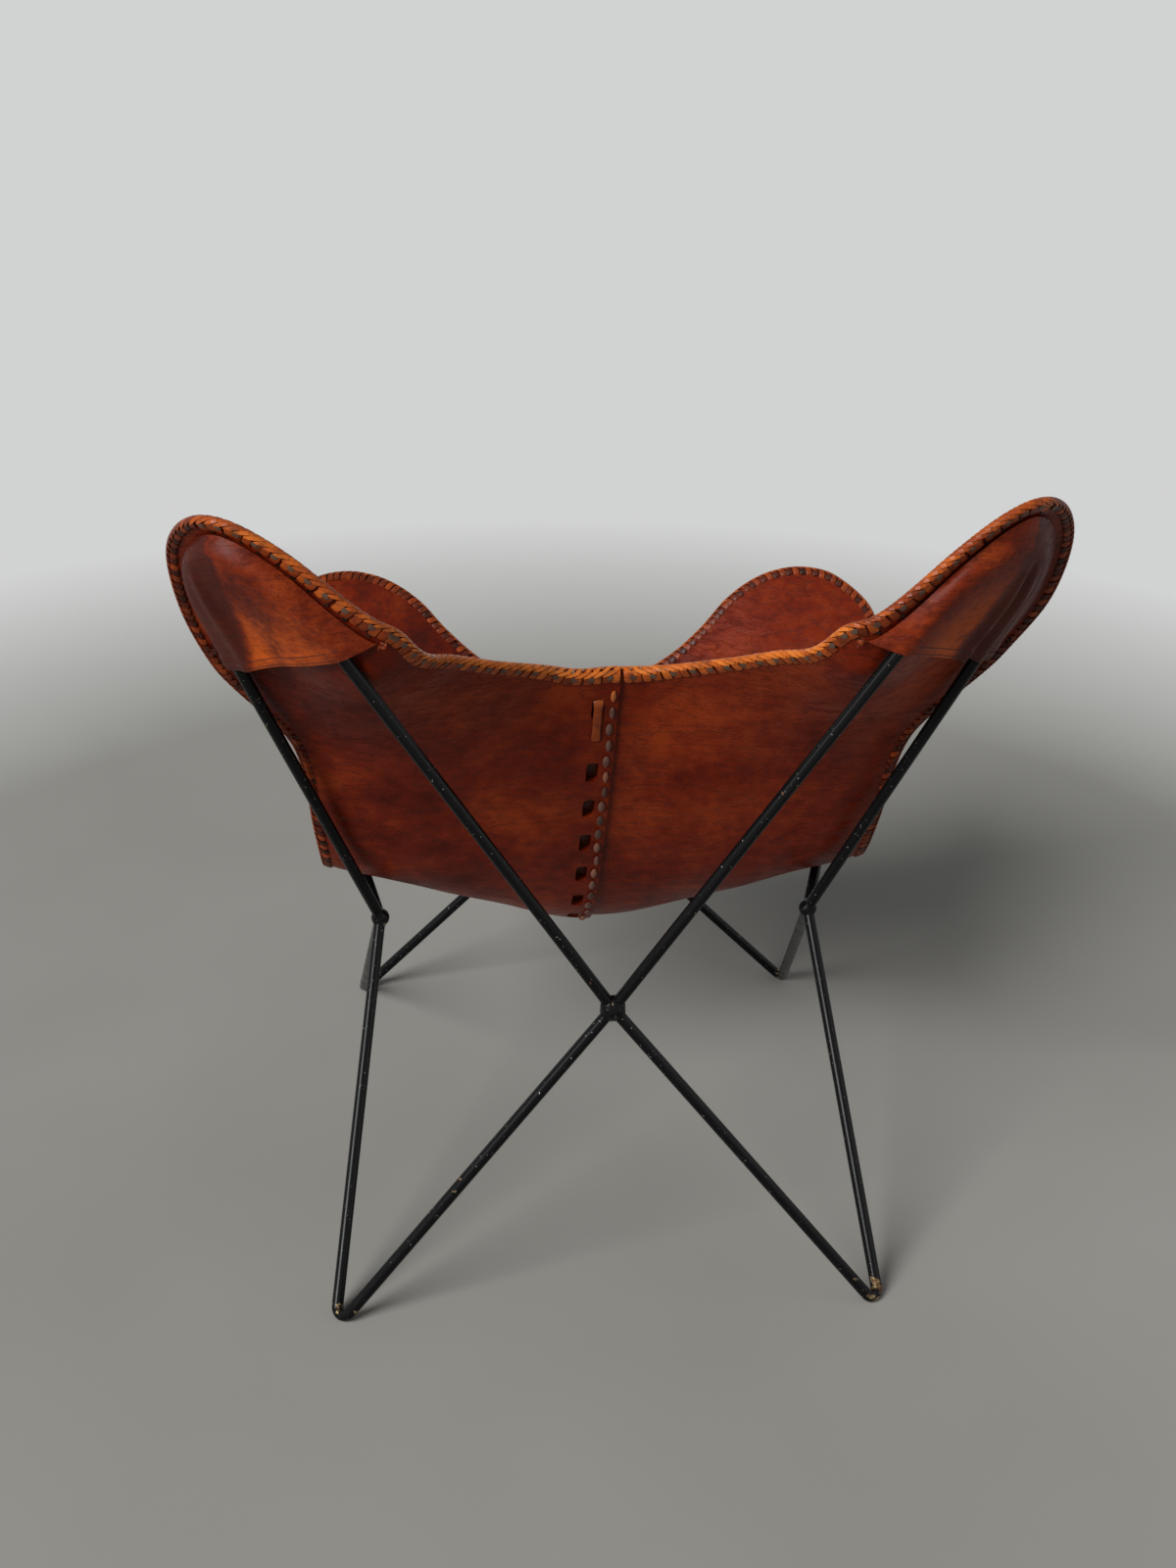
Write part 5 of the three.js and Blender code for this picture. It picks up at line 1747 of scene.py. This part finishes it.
class Lacing:
    """The braid along the rim of the leather: wraps through punched holes under a crest, with dark
    plugs of painted shade at the holes.
    """

    leather_gap = 0.4
    face_gap = 0.2
    second_wider = 0.4
    place_vary = 0.1
    crest_seat = 0.45
    crest_thickness = 0.7
    tangent_step = 0.02
    wrap_vary = 0.12
    crest_vary = 0.1
    grey_tone = 1.3
    grey_size = (7.6, 1.0)
    # Painted shade: the tone and size of the dark plugs at the holes.
    hole_shade_tone = -0.4
    hole_size = (5.0, 5.0)
    knot_ends = 16
    knot_rings = 9
    knot_lift = -7.0
    knot_widths = (3.0, 0.7)
    knot_vary = 0.15
    knot_turn = 5.0
    knot_curl = 0.6
    knot_core = 0.35
    knot_squash = 0.6
    knot_swell = (0.5, 2.6)
    knot_thickness = 0.7
    knot_tilt = 0.1
    knot_sides = 5

    def __init__(self, material: bpy.types.Material, chance: random.Random) -> None:
        """Takes the thong's finish and the source of its small differences.

        Args:
            material: the finish.
            chance: the source of the differences.
        """
        self.material = material
        self.chance = chance
        self.bm = bmesh.new()

    def vary(self, count: int, spread: float) -> Array:
        """Small differences, one for each strand."""
        return np.array([self.chance.uniform(-spread, spread) for _ in range(count)])

    def strands(
        self, half: Half, counts: Array, profile: tuple, lean: float, width: float,
        height: float, tones: Array, swell: tuple | None = None,
    ) -> None:
        """Adds a strand over the rim at each count.

        Args:
            half: the half whose rim it goes over.
            counts: places along the outline.
            profile: the strand's (inset, lift) places from the sitter's side to the other.
            lean: how far it moves along the rim, in millimetres.
            width: its width.
            height: its thickness.
            tones: its colour, one for each strand.
            swell: share of its full width at each place of the profile.
        """
        inset, lift = np.array(profile).T
        rings = len(profile)
        spread = np.linspace(-0.5, 0.5, rings)
        many = half.rim_count(half.rim_travel(counts)[:, None] + spread[None] * lean)
        shape = many.shape
        flat = many.ravel()
        insets, lifts = (np.broadcast_to(one, shape).ravel() for one in (inset, lift))
        extra = half.shift(half.outline.at(flat)) * np.sign(lifts)
        path = half.edge_point(flat, insets, lifts + extra).reshape(*shape, 3)
        ahead, behind = (
            half.edge_point(np.clip(flat + step, 0, OUTLINE_END), insets, lifts + extra)
            for step in (self.tangent_step, -self.tangent_step)
        )
        along = ahead - behind
        swell = np.ones(rings) if swell is None else np.array(swell)
        widths = width * swell[None] * np.ones(shape)
        heights = height * np.sqrt(swell)[None] * np.ones(shape)
        Strands(
            path, along.reshape(*shape, 3), widths, heights, tones[:, None] * np.ones(shape)
        ).add_to(self.bm)

    def braid_over(self, half: Half, start: float, end: float, braid: Braid) -> None:
        """Adds the wraps, the crest, the small faces between them and any dark plugs of painted
        shade at the holes over a stretch of rim.

        Args:
            half: the half whose rim it is.
            start: count on the outline where the stretch starts.
            end: count where it ends.
            braid: how the stretch is laced.
        """
        counts = half.spaced(start, end, braid.pitch)
        pitch = (end - start) / len(counts)
        cover, thick = braid.cover, braid.thickness
        over = HALF_LEATHER + self.leather_gap + thick / 2
        inside = run_over_rim(WRAP_COURSE, cover, over)
        behind = tuple((inset, -lift) for inset, lift in inside)[::-1]
        for first, shade in ((0, braid.contrast), (1, -braid.contrast)):
            some = counts[first::2]
            some = some + self.vary(len(some), pitch * self.place_vary)
            tones = braid.tone + shade + self.vary(len(some), self.wrap_vary)
            wide = braid.width + first * self.second_wider
            self.strands(
                half, some, (*inside, *behind), braid.pitch * braid.lean, wide, thick, tones,
                (*WRAP_SWELL, *WRAP_SWELL[::-1]),
            )
        crest = run_over_rim(CREST_COURSE, braid.crest, over + thick * self.crest_seat)
        tones = braid.tone + braid.crest_shade + self.vary(len(counts), self.crest_vary)
        self.strands(
            half, counts, crest, braid.pitch * braid.crest_lean, braid.crest_width,
            thick * self.crest_thickness, tones, CREST_SWELL,
        )
        some = counts[::2] + pitch * 0.5
        if braid.faces:
            face = run_over_rim(FACE_COURSE, braid.crest, over + thick / 2 + self.face_gap)
            greys = np.full(len(some), self.grey_tone)
            self.strands(half, some + pitch * 0.5, face, 0, *self.grey_size, greys, FACE_SWELL)
        # Painted shade: dark plugs at the holes, between the wraps, stand in for the shade in the
        # punched holes.
        if braid.holes:
            hole = run_over_rim(HOLE_COURSE, cover, HALF_LEATHER)
            hole_shades = np.full(len(some), self.hole_shade_tone)
            self.strands(half, some, hole, 0, *self.hole_size, hole_shades, HOLE_SWELL)

    def knot(self, half: Half, count: float, inset: float, tone: float, size: float) -> None:
        """Adds a knot with frayed ends, on the back of the leather.

        Args:
            half: the half it is on.
            count: its place along the outline.
            inset: its distance in from the rim.
            tone: its colour.
            size: its width, in millimetres.
        """
        many, rings = self.knot_ends, self.knot_rings
        place_on_half = (np.array([value]) for value in (count, inset, self.knot_lift))
        centre = half.edge_point(*place_on_half)[0]
        turns = self.vary(many * 3, 1).reshape(many, 3)
        along = unit(turns)[:, None] * np.linspace(-1, 1, rings)[None, :, None]
        curl = unit(np.roll(turns, 1, axis=1))[:, None]
        wave = np.sin(np.linspace(0, self.knot_turn, rings))[None, :, None]
        reach = np.linspace(self.knot_core, 1, many)[:, None, None]
        path = along + curl * wave * self.knot_curl
        path = centre + path * size * reach * [1, self.knot_squash, 1]
        across = np.broadcast_to(UP + self.knot_tilt, path.shape)
        swell = np.sin(np.linspace(*self.knot_swell, rings))[None]
        width = np.linspace(*self.knot_widths, many)[:, None] * swell
        tones = tone + self.vary(many, self.knot_vary)[:, None] * np.ones((many, rings))
        Strands(
            path, across, width, width * self.knot_thickness, tones, sides=self.knot_sides
        ).add_to(self.bm)

    def build(self, name: str, *stretches: tuple) -> bpy.types.Object:
        """Makes the lacing that stands for one CAD node.

        Args:
            name: the node's name.
            stretches: the half, start, end and braid of each stretch of it.

        Returns:
            The finished piece.
        """
        for stretch in stretches:
            self.braid_over(*stretch)
        return new_piece(f"laced_{name}", self.bm, self.material, "lacing_leather", name)


@dataclass(frozen=True)
class PocketSizes:
    """Leather pockets over the ears, in millimetres.

    The eases are the shares of the pocket, across it or towards its tip, over which its puff,
    folds and hem rise from its seams.
    """

    thickness: float = 2.5
    inset: float = 16.2
    rim_gap: float = 0.7
    rod_gap: float = 1.5
    puff: float = 1.5
    puff_ease: float = 0.4
    tip_ease: float = 0.3
    fold_ease: float = 0.06
    fold_fade: float = 0.35
    hem: float = 11.0
    hem_height: float = 1.1
    hem_step: float = 1.6
    hem_ease: float = 0.05
    stitch_rows: tuple = (2.6, 10.6)
    stitch_pitch: float = 3.6
    stitch_share: float = 0.62
    stitch_width: float = 1.3
    stitch_height: float = 0.9
    stitch_sunk: float = 0.9
    stitch_tone: float = 0.02
    stitch_lift: float = 0.25
    stitch_sides: int = 5
    merge_gap: float = 0.4


POCKET_SIZES = PocketSizes()


@dataclass(frozen=True)
class Fold:
    """A soft ridge or valley of a pocket, running from its mouth towards its tip.

    The place is a share of the way across the pocket at its mouth, which moves by the lean
    towards the tip; the height fades out at the end share.
    """

    place: float
    lean: float
    height: float
    width: float
    end: float


@dataclass(frozen=True)
class PocketLook:
    """A pocket's folds and where its darkening, partly a dark stain and partly painted shade,
    begins.

    The darkening begins at a share of the way from the inner mouth to the outer one, and moves by
    its lean towards the tip. The painted pool of light ends at a share of the way to the tip and
    begins at one across, each given with the reach over which it fades.
    """

    folds: tuple = ()
    stain_from: float = 0.6
    stain_lean: float = -0.2
    stain_edge: float = 0.07
    stain_depth: float = 0.85
    painted_light_until: tuple = (0.55, 0.5)
    painted_light_from: tuple = (0.15, 0.3)


class Pocket:
    """A leather pocket sewn to the rim of a half, over one ear of the frame."""

    rows = 44
    straights = 8
    wraps = 7
    rungs = 34
    smoothing_rounds = 14
    seam_columns = 4

    def __init__(self, half: Half, ear: Ear, counts: tuple, mouth: int, look: PocketLook) -> None:
        """Takes the half it is on, its ear, its counts on the ear and its look.

        Args:
            half: the half whose rim it is sewn to.
            ear: the ear it slips over.
            counts: where it begins and ends, counted on the ear.
            mouth: count on the outline of the ear's inner mouth.
            look: the folds and the stain of its leather.
        """
        self.half = half
        self.ear = ear
        self.counts = counts
        self.mouth = mouth
        self.way = 1 if counts[0] < counts[1] else -1
        self.look = look

    def flank(self, shares: Array) -> tuple[Array, Array]:
        """One side of the pocket, from its seam at the rim up to the top of the rod.

        Args:
            shares: places along the rim, from the pocket's first mouth (0) to its last (1).

        Returns:
            Points, rows by steps, and the ways out of the pocket there.
        """
        lift = HALF_LEATHER + POCKET_SIZES.rim_gap + POCKET_SIZES.thickness / 2
        radius = FRAME.rod_radius + POCKET_SIZES.rod_gap + POCKET_SIZES.thickness / 2
        counts = self.counts[0] + (self.counts[1] - self.counts[0]) * shares
        rim = self.half.inset(self.mouth + self.way * counts, POCKET_SIZES.inset)
        seam = SHEET.point(rim, -lift)
        centre, facing, _ = self.ear.at(counts)
        back = -facing
        to_rim = seam - centre
        height = np.sum(to_rim * back, axis=1)
        out = to_rim - back * height[:, None]
        width = np.linalg.norm(out, axis=1)
        out = out / width[:, None]
        leaves = np.arccos(np.minimum(radius / np.hypot(width, height), 1))
        touch = np.arctan2(width, height) - leaves
        turns = touch[:, None] * np.linspace(1, 0, self.wraps)[None]
        around = back[:, None] * np.cos(turns)[..., None] + out[:, None] * np.sin(turns)[..., None]
        wrapped = centre[:, None] + around * radius
        start = seam[:, None]
        reach = np.linspace(0, 1, self.straights, endpoint=False)[None, :, None]
        flat = start + (wrapped[:, :1] - start) * reach
        ways = np.concatenate([np.repeat(around[:, :1], self.straights, axis=1), around], axis=1)
        return np.concatenate([flat, wrapped], axis=1), ways

    def surface(self) -> tuple[Array, Array]:
        """The pocket's sheet, rows from its mouth to its tip, and its share across.

        Returns:
            The points, rows by steps, and how far across each lies, from 0 to 1.
        """
        shares = np.linspace(0, 0.5, self.rows)
        one, one_out = self.flank(shares)
        other, other_out = self.flank(1 - shares)
        share = np.linspace(0, 1, self.rungs)[None, 1:-1, None]
        rungs = one[:, -1:] + (other[:, -1:] - one[:, -1:]) * share
        out = np.broadcast_to(-self.ear.facing, rungs.shape)
        points = np.concatenate([one, rungs, other[:, ::-1]], axis=1)
        ways = np.concatenate([one_out, out, other_out[:, ::-1]], axis=1)
        across = travel_along(points.swapaxes(0, 1)).T
        across = across / across[:, -1:]
        for _ in range(self.smoothing_rounds):
            points[:, 1:-1] = (points[:, :-2] + points[:, 1:-1] * 2 + points[:, 2:]) / 4
        free = np.minimum(across, 1 - across)
        rows = np.linspace(0, 1, self.rows)[:, None]
        sizes = POCKET_SIZES
        lift = smooth_step(free / sizes.puff_ease) * smooth_step((1 - rows) / sizes.tip_ease)
        lift = lift * sizes.puff
        for fold in self.look.folds:
            centre = fold.place + fold.lean * rows
            fade = smooth_step((fold.end - rows) / sizes.fold_fade)
            fade = fade * smooth_step(free / sizes.fold_ease)
            lift = lift + fold.height * bump_at(across, centre, fold.width) * fade
        hem = 1 - smooth_step((travel_along(points) - sizes.hem) / sizes.hem_step)
        lift = lift + sizes.hem_height * hem * smooth_step(free / sizes.hem_ease)
        return points + ways * lift[..., None], across

    def stain(self, across: Array, rows: Array) -> Array:
        """Tone of the leather: up to 1 where darkened over its outer rod, partly a real stain and
        partly painted shade; -1 where a painted pool of light brightens it.

        Args:
            across: shares of the way across.
            rows: shares of the way to the tip.

        Returns:
            The tone of each place.
        """
        outer = across if self.way > 0 else 1 - across
        look = self.look
        stain_and_shade_share = smooth_step((outer - look.stain_from - look.stain_lean * rows) / look.stain_edge)
        (until, fade), (start, rise) = look.painted_light_until, look.painted_light_from
        painted_light_share = smooth_step((until - rows) / fade) * smooth_step((outer - start) / rise)
        return stain_and_shade_share * look.stain_depth - painted_light_share * (1 - stain_and_shade_share)

    def build(self, name: str, leather: bpy.types.Material) -> bpy.types.Object:
        """Makes the pocket's sheet.

        Args:
            name: the CAD node it stands for.
            leather: its finish.

        Returns:
            The finished piece.
        """
        points, across = self.surface()
        bm = bmesh.new()
        # The tone layer carries this pocket's painted light and painted shade, together with its
        # real stain.
        tone = bm.verts.layers.float.new("tone")
        verts = grid_points(bm, self.half.mirror(points))
        rows = np.broadcast_to(np.linspace(0, 1, self.rows)[:, None], across.shape)
        for vert, value in zip(verts, self.stain(across, rows).ravel()):
            vert[tone] = value
        bmesh.ops.remove_doubles(bm, verts=bm.verts, dist=POCKET_SIZES.merge_gap * MM)
        area = sum(face.calc_area() for face in bm.faces)
        thicken(bm, POCKET_SIZES.thickness)
        piece = new_piece(f"leather_{name}", bm, leather, "pocket_leather", name)
        piece["flat_area"] = area
        return piece

    def build_stitches(self, name: str, cord: bpy.types.Material) -> bpy.types.Object:
        """Makes the two rows of stitches along the hem of the mouth.

        Args:
            name: the CAD node of the pocket.
            cord: the finish of the stitches.

        Returns:
            The finished piece.
        """
        points, _ = self.surface()
        depth = travel_along(points)
        pitch = POCKET_SIZES.stitch_pitch
        outer = POCKET_SIZES.thickness / 2 + POCKET_SIZES.stitch_lift
        sunk = POCKET_SIZES.stitch_sunk * np.array([1, 0, 0, 1])[None, :, None]
        bm = bmesh.new()
        for row in POCKET_SIZES.stitch_rows:
            line = np.array([
                points_at(row, depth[:, column], points[:, column])
                for column in range(self.seam_columns, points.shape[1] - self.seam_columns)
            ])
            travelled = travel_along(line)
            starts = np.arange(0, travelled[-1] - pitch, pitch)[:, None]
            shares = np.linspace(0, POCKET_SIZES.stitch_share, 4)[None]
            path = points_at(starts + shares * pitch, travelled, line)
            path = path - self.ear.facing * (outer - sunk)
            across = np.cross(np.gradient(path, axis=1), self.ear.facing)
            Strands(
                self.half.mirror(path), self.half.mirror(across), POCKET_SIZES.stitch_width,
                POCKET_SIZES.stitch_height, POCKET_SIZES.stitch_tone,
                sides=POCKET_SIZES.stitch_sides,
            ).add_to(bm)
        return new_piece(f"waxed_hem_stitches_{name}", bm, cord, "stitch_cord")


class Spine:
    """The strap along the seam with its tail, and the stitches that join the two halves."""

    inside_rings = 90
    fold_rings = 13
    tail_rings = 13
    stitch_rings = 9

    def __init__(self, thong: bpy.types.Material, cord: bpy.types.Material) -> None:
        """Takes the finishes of the strap and of the stitches."""
        self.thong = thong
        self.cord = cord

    def build_strap(self) -> bpy.types.Object:
        """Makes the strap on the sitter's side, folded out through the first slot.

        Returns:
            The finished piece.
        """
        lift = SLING.leather + SLING.fit_gap / 2 + SPINE.strap_gap + SPINE.strap_thickness / 2
        fold = SPINE.tail_slot - SPINE.slot_length / 2 + lift
        fold = fold + SPINE.strap_thickness * SPINE.fold_clear
        first, turning, last = self.inside_rings, self.fold_rings, self.tail_rings
        inside = np.linspace(SPINE.slots[-1] + SPINE.end_length, fold, first, endpoint=False)
        turn = np.linspace(0, math.pi, turning)
        tail = fold + np.linspace(0, SPINE.tail_length, last + 1)[1:]
        travelled = np.concatenate([inside, fold - lift * np.sin(turn), tail])
        lifts = np.concatenate([np.full(first, lift), lift * np.cos(turn), np.full(last, -lift)])
        path = SEAM.at(travelled, 0, lifts)
        _, across, _ = SEAM.frame_at(travelled)
        bm = bmesh.new()
        number = np.arange(len(path))
        changes = (first - 2, first, first + turning - 1, first + turning + 1)
        wide = (SPINE.inside_width, SPINE.fold_width, SPINE.fold_width, SPINE.strap_width)
        waver = np.sin(number * SPINE.strap_wave) * SPINE.strap_waver
        widths = np.interp(number, changes, wide) + waver
        # Painted shade: the strap seen through the slots gets the darkest tone.
        shaded_inside_tone, *folded, hanging = SPINE.strap_tones
        tones = [np.full(first, shaded_inside_tone), np.linspace(*folded, turning), np.full(last, hanging)]
        tones = np.concatenate(tones)
        Strands(
            path[None], across[None], widths[None], SPINE.strap_thickness, tones[None],
            sides=SPINE.strap_sides,
        ).add_to(bm)
        return new_piece("leather_spine_strap", bm, self.thong, "thong_leather", "spine_strap")

    def build_stitches(self, chance: random.Random) -> bpy.types.Object:
        """Makes the row of stitches beside the slots.

        Args:
            chance: the source of their differences.

        Returns:
            The finished piece.
        """
        lift = -(SLING.leather + SLING.fit_gap / 2 + SPINE.stitch_lift)
        starts = SPINE.stitch_first + SPINE.stitch_pitch * np.arange(SPINE.stitch_count)
        starts = starts[starts < SEAM.length - SPINE.stitch_end_gap]
        shape = np.linspace(0, 1, self.stitch_rings) - SPINE.stitch_back_share
        travelled = starts[:, None] + shape[None] * SPINE.stitch_pitch * SPINE.stitch_share
        path = SEAM.at(travelled, SPINE.stitch_offset, lift)
        _, across, _ = SEAM.frame_at(travelled)
        swell = np.sin(math.pi * np.linspace(*SPINE.stitch_swell, self.stitch_rings))
        swell = swell**SPINE.stitch_fullness
        tones = np.array([chance.uniform(*SPINE.stitch_tones) for _ in starts])[:, None]
        tones[0] = 1
        uneven = np.array([chance.uniform(*SPINE.stitch_spread) for _ in starts])[:, None]
        path = path + across * (uneven[..., None] - 1) * SPINE.stitch_stray
        widths = SPINE.stitch_width * uneven * swell[None]
        heights = SPINE.stitch_height * swell[None]
        bm = bmesh.new()
        Strands(path, across, widths, heights, tones, sides=SPINE.stitch_sides).add_to(bm)
        return new_piece("waxed_spine_stitching", bm, self.cord, "stitch_cord", "spine_stitching")


# Setting


@dataclass(frozen=True)
class Photographer:
    """The camera: where it stands, how it is turned and its lens."""

    location: tuple = (0.15139, 1.81266, 1.3964)
    yaw: float = -0.0761
    pitch: float = 0.4896
    roll: float = 0.018
    lens: float = 43.243
    sensor_width: float = 36.0

    def build(self) -> None:
        """Makes the camera and sets it for the scene."""
        forward = Vector((
            math.sin(self.yaw) * math.cos(self.pitch),
            -math.cos(self.yaw) * math.cos(self.pitch),
            -math.sin(self.pitch),
        ))
        level = forward.cross(Vector((0, 0, 1))).normalized()
        upright = level.cross(forward)
        right = level * math.cos(self.roll) + upright * math.sin(self.roll)
        top = upright * math.cos(self.roll) - level * math.sin(self.roll)
        data = bpy.data.cameras.new("view")
        data.lens = self.lens
        data.sensor_width = self.sensor_width
        camera = add_object("view", data)
        turn = Matrix((right, top, -forward)).transposed().to_4x4()
        camera.matrix_world = Matrix.Translation(self.location) @ turn
        bpy.context.scene.camera = camera


@dataclass(frozen=True)
class Lamp:
    """A soft light, square, or far away like the sky."""

    name: str
    location: tuple
    aim: tuple
    size: float
    power: float
    kind: str = "AREA"

    def build(self) -> None:
        """Makes the light."""
        data = bpy.data.lights.new(self.name, self.kind)
        data.energy = self.power
        setattr(data, "angle" if self.kind == "SUN" else "size", self.size)
        lamp = add_object(self.name, data)
        lamp.location = self.location
        way = Vector(self.aim) - Vector(self.location)
        lamp.rotation_euler = way.to_track_quat("-Z", "Y").to_euler()


LAMPS = (
    Lamp("sky", (1.8, 1.5, 2.1), (0, 0, 0.3), 0.5, 2.5, kind="SUN"),
    Lamp("key", (2.3, 1.9, 1.5), (0, 0, 0.5), 1.3, 15),
    Lamp("side", (-2.4, 1.2, 1.3), (0, 0.1, 0.6), 1.6, 6),
)


class Studio:
    """The pale floor, the pale surroundings and the lights."""

    floor_reach = 12
    floor_cells = 1.3
    floor_roughness = 0.8
    fade_from = 1.15
    fade_to = 2.0
    floor_tones = ((0.3, (0.32, 0.312, 0.285)), (0.7, (0.38, 0.371, 0.342)))
    lighting_tone = (0.13, 0.135, 0.14)
    shown_tone = (0.64, 0.65, 0.645)

    def build_floor(self) -> None:
        """Makes a floor that keeps the chair's shadow."""
        sh = Shader("pale_floor")
        tone = sh.ramp(sh.noise(self.floor_cells, 3), *self.floor_tones)
        sh.surface_input(Base_Color=tone, Roughness=self.floor_roughness)
        away = sh.add("ShaderNodeVectorMath", {0: sh.object_place}, operation="LENGTH")
        fade = sh.rescale(away.outputs["Value"], self.fade_from, self.fade_to, 0.0, 1.0)
        clear = sh.add("ShaderNodeBsdfTransparent").outputs[0]
        shown = sh.surface.outputs[0]
        blend = sh.add("ShaderNodeMixShader", {0: fade, 1: shown, 2: clear}).outputs[0]
        sh.feed(sh.tree.nodes["Material Output"].inputs["Surface"], blend)
        bm = bmesh.new()
        bmesh.ops.create_grid(bm, x_segments=1, y_segments=1, size=self.floor_reach)
        mesh = mesh_from("floor", bm)
        mesh.materials.append(sh.material)
        add_object("floor", mesh)

    def build_world(self) -> None:
        """Makes pale surroundings, which light the chair less than they show."""
        world = bpy.data.worlds.new("surroundings")
        world.use_nodes = True
        bpy.context.scene.world = world
        nodes = Nodes(world.node_tree)
        rays = nodes.add("ShaderNodeLightPath").outputs
        seen = rays["Is Camera Ray"]
        for kind in ("Is Glossy Ray", "Is Transmission Ray"):
            seen = nodes.math("MAXIMUM", seen, rays[kind])
        colour = nodes.mix(seen, self.lighting_tone, self.shown_tone)
        nodes.feed(world.node_tree.nodes["Background"].inputs["Color"], colour)

    def build(self) -> None:
        """Makes the whole setting."""
        self.build_floor()
        self.build_world()
        for lamp in LAMPS:
            lamp.build()
        bpy.context.scene.view_settings.view_transform = "Standard"


# The sheets' flat widths and lengths in metres, measured on the model.
BACK_POCKET_FLAT = (0.16, 0.22)
FRONT_POCKET_FLAT = (0.14, 0.23)
BACK_POCKET_COUNTS = (0.6, 5.85)
FRONT_POCKET_COUNTS = (6, 0)
BACK_LOOKS = {
    Side.LEFT: PocketLook(
        folds=(
            Fold(place=0.76, lean=-0.04, height=3.2, width=0.045, end=0.8),
            Fold(place=0.55, lean=0.1, height=-2.6, width=0.12, end=0.6),
        ),
        stain_from=0.7, stain_lean=-0.42,
    ),
    Side.RIGHT: PocketLook(
        folds=(
            Fold(place=0.63, lean=-0.04, height=4.0, width=0.03, end=0.7),
            Fold(place=0.7, lean=-0.05, height=-3.6, width=0.035, end=0.8),
            Fold(place=0.79, lean=-0.08, height=3.0, width=0.03, end=0.7),
            Fold(place=0.4, lean=0.05, height=-1.5, width=0.12, end=0.6),
        ),
        stain_from=0.5, stain_lean=-0.08,
    ),
}


class SlingDresser:
    """The leather sling: panels, pockets, lacing and spine."""

    def __init__(self) -> None:
        """Makes the finishes of the sling."""
        self.saddle = SADDLE.build()
        self.pocket = POCKET.build()
        self.lacing = LACING.build()
        self.thong = THONG.build()
        self.cord = WAXED_CORD.build()
        self.chance = random.Random(SEED)

    def lace(self, name: str, *stretches: tuple) -> None:
        """Makes one length of the lacing over its stretches of rim."""
        Lacing(self.lacing, self.chance).build(f"edge_lacing_{name}", *stretches)

    def build_pockets(self, half: Half) -> None:
        """Makes a half's two pockets with their hems.

        Args:
            half: the half.
        """
        word = half.side.word
        back = (BACK_EAR, BACK_POCKET_COUNTS, BACK_INNER_MOUTH, BACK_LOOKS[half.side])
        front = (FRONT_EAR, FRONT_POCKET_COUNTS, FRONT_INNER_MOUTH, PocketLook())
        for part, place_and_look, flat in (
            ("back", back, BACK_POCKET_FLAT), ("front", front, FRONT_POCKET_FLAT)
        ):
            name = f"{part}_pocket_{word}"
            pocket = Pocket(half, *place_and_look)
            piece = pocket.build(name, self.pocket)
            stitches = pocket.build_stitches(name, self.cord)

    def build(self) -> None:
        """Makes every piece of the sling."""
        left, right = HALVES[Side.LEFT], HALVES[Side.RIGHT]
        for half in (left, right):
            word = half.side.word
            panel = Panel(half, self.saddle).build()
            self.build_pockets(half)
            back_ear = Lacing(self.lacing, self.chance)
            back_ear.knot(half, BACK_INNER_MOUTH + 0.35, inset=13, tone=0.34, size=5)
            back_ear.knot(half, BACK_OUTER_MOUTH - 0.25, inset=9, tone=0.1, size=6)
            back_ear.build(
                f"edge_lacing_back_ear_{word}",
                (half, BACK_INNER_MOUTH, BACK_TIP + 0.2, BACK_INNER_BRAIDS[half.side]),
                (half, BACK_TIP + 0.2, BACK_OUTER_MOUTH, BACK_OUTER_BRAID),
            )
            self.lace(f"side_{word}", (half, BACK_OUTER_MOUTH, FRONT_OUTER_MOUTH, SIDE_BRAID))
            self.lace(
                f"front_ear_{word}", (half, FRONT_OUTER_MOUTH, FRONT_INNER_MOUTH, FRONT_BRAID)
            )
        self.lace(
            "back",
            (left, 0, BACK_INNER_MOUTH, BACK_BRAID),
            (right, 1, BACK_INNER_MOUTH, BACK_BRAID),
        )
        self.lace(
            "front",
            (left, FRONT_INNER_MOUTH, OUTLINE_END, FRONT_BRAID),
            (right, FRONT_INNER_MOUTH, OUTLINE_END - 1, FRONT_BRAID),
        )
        spine = Spine(self.thong, self.cord)
        spine.build_strap()
        spine.build_stitches(self.chance)


def main() -> None:
    """Builds the chair and its setting."""
    logging.basicConfig(level=logging.INFO, format="%(name)s %(message)s")
    Photographer().build()
    Studio().build()
    RodFrame(BLACK_PAINT.build()).build()
    SlingDresser().build()


if __name__ == "__main__":
    main()
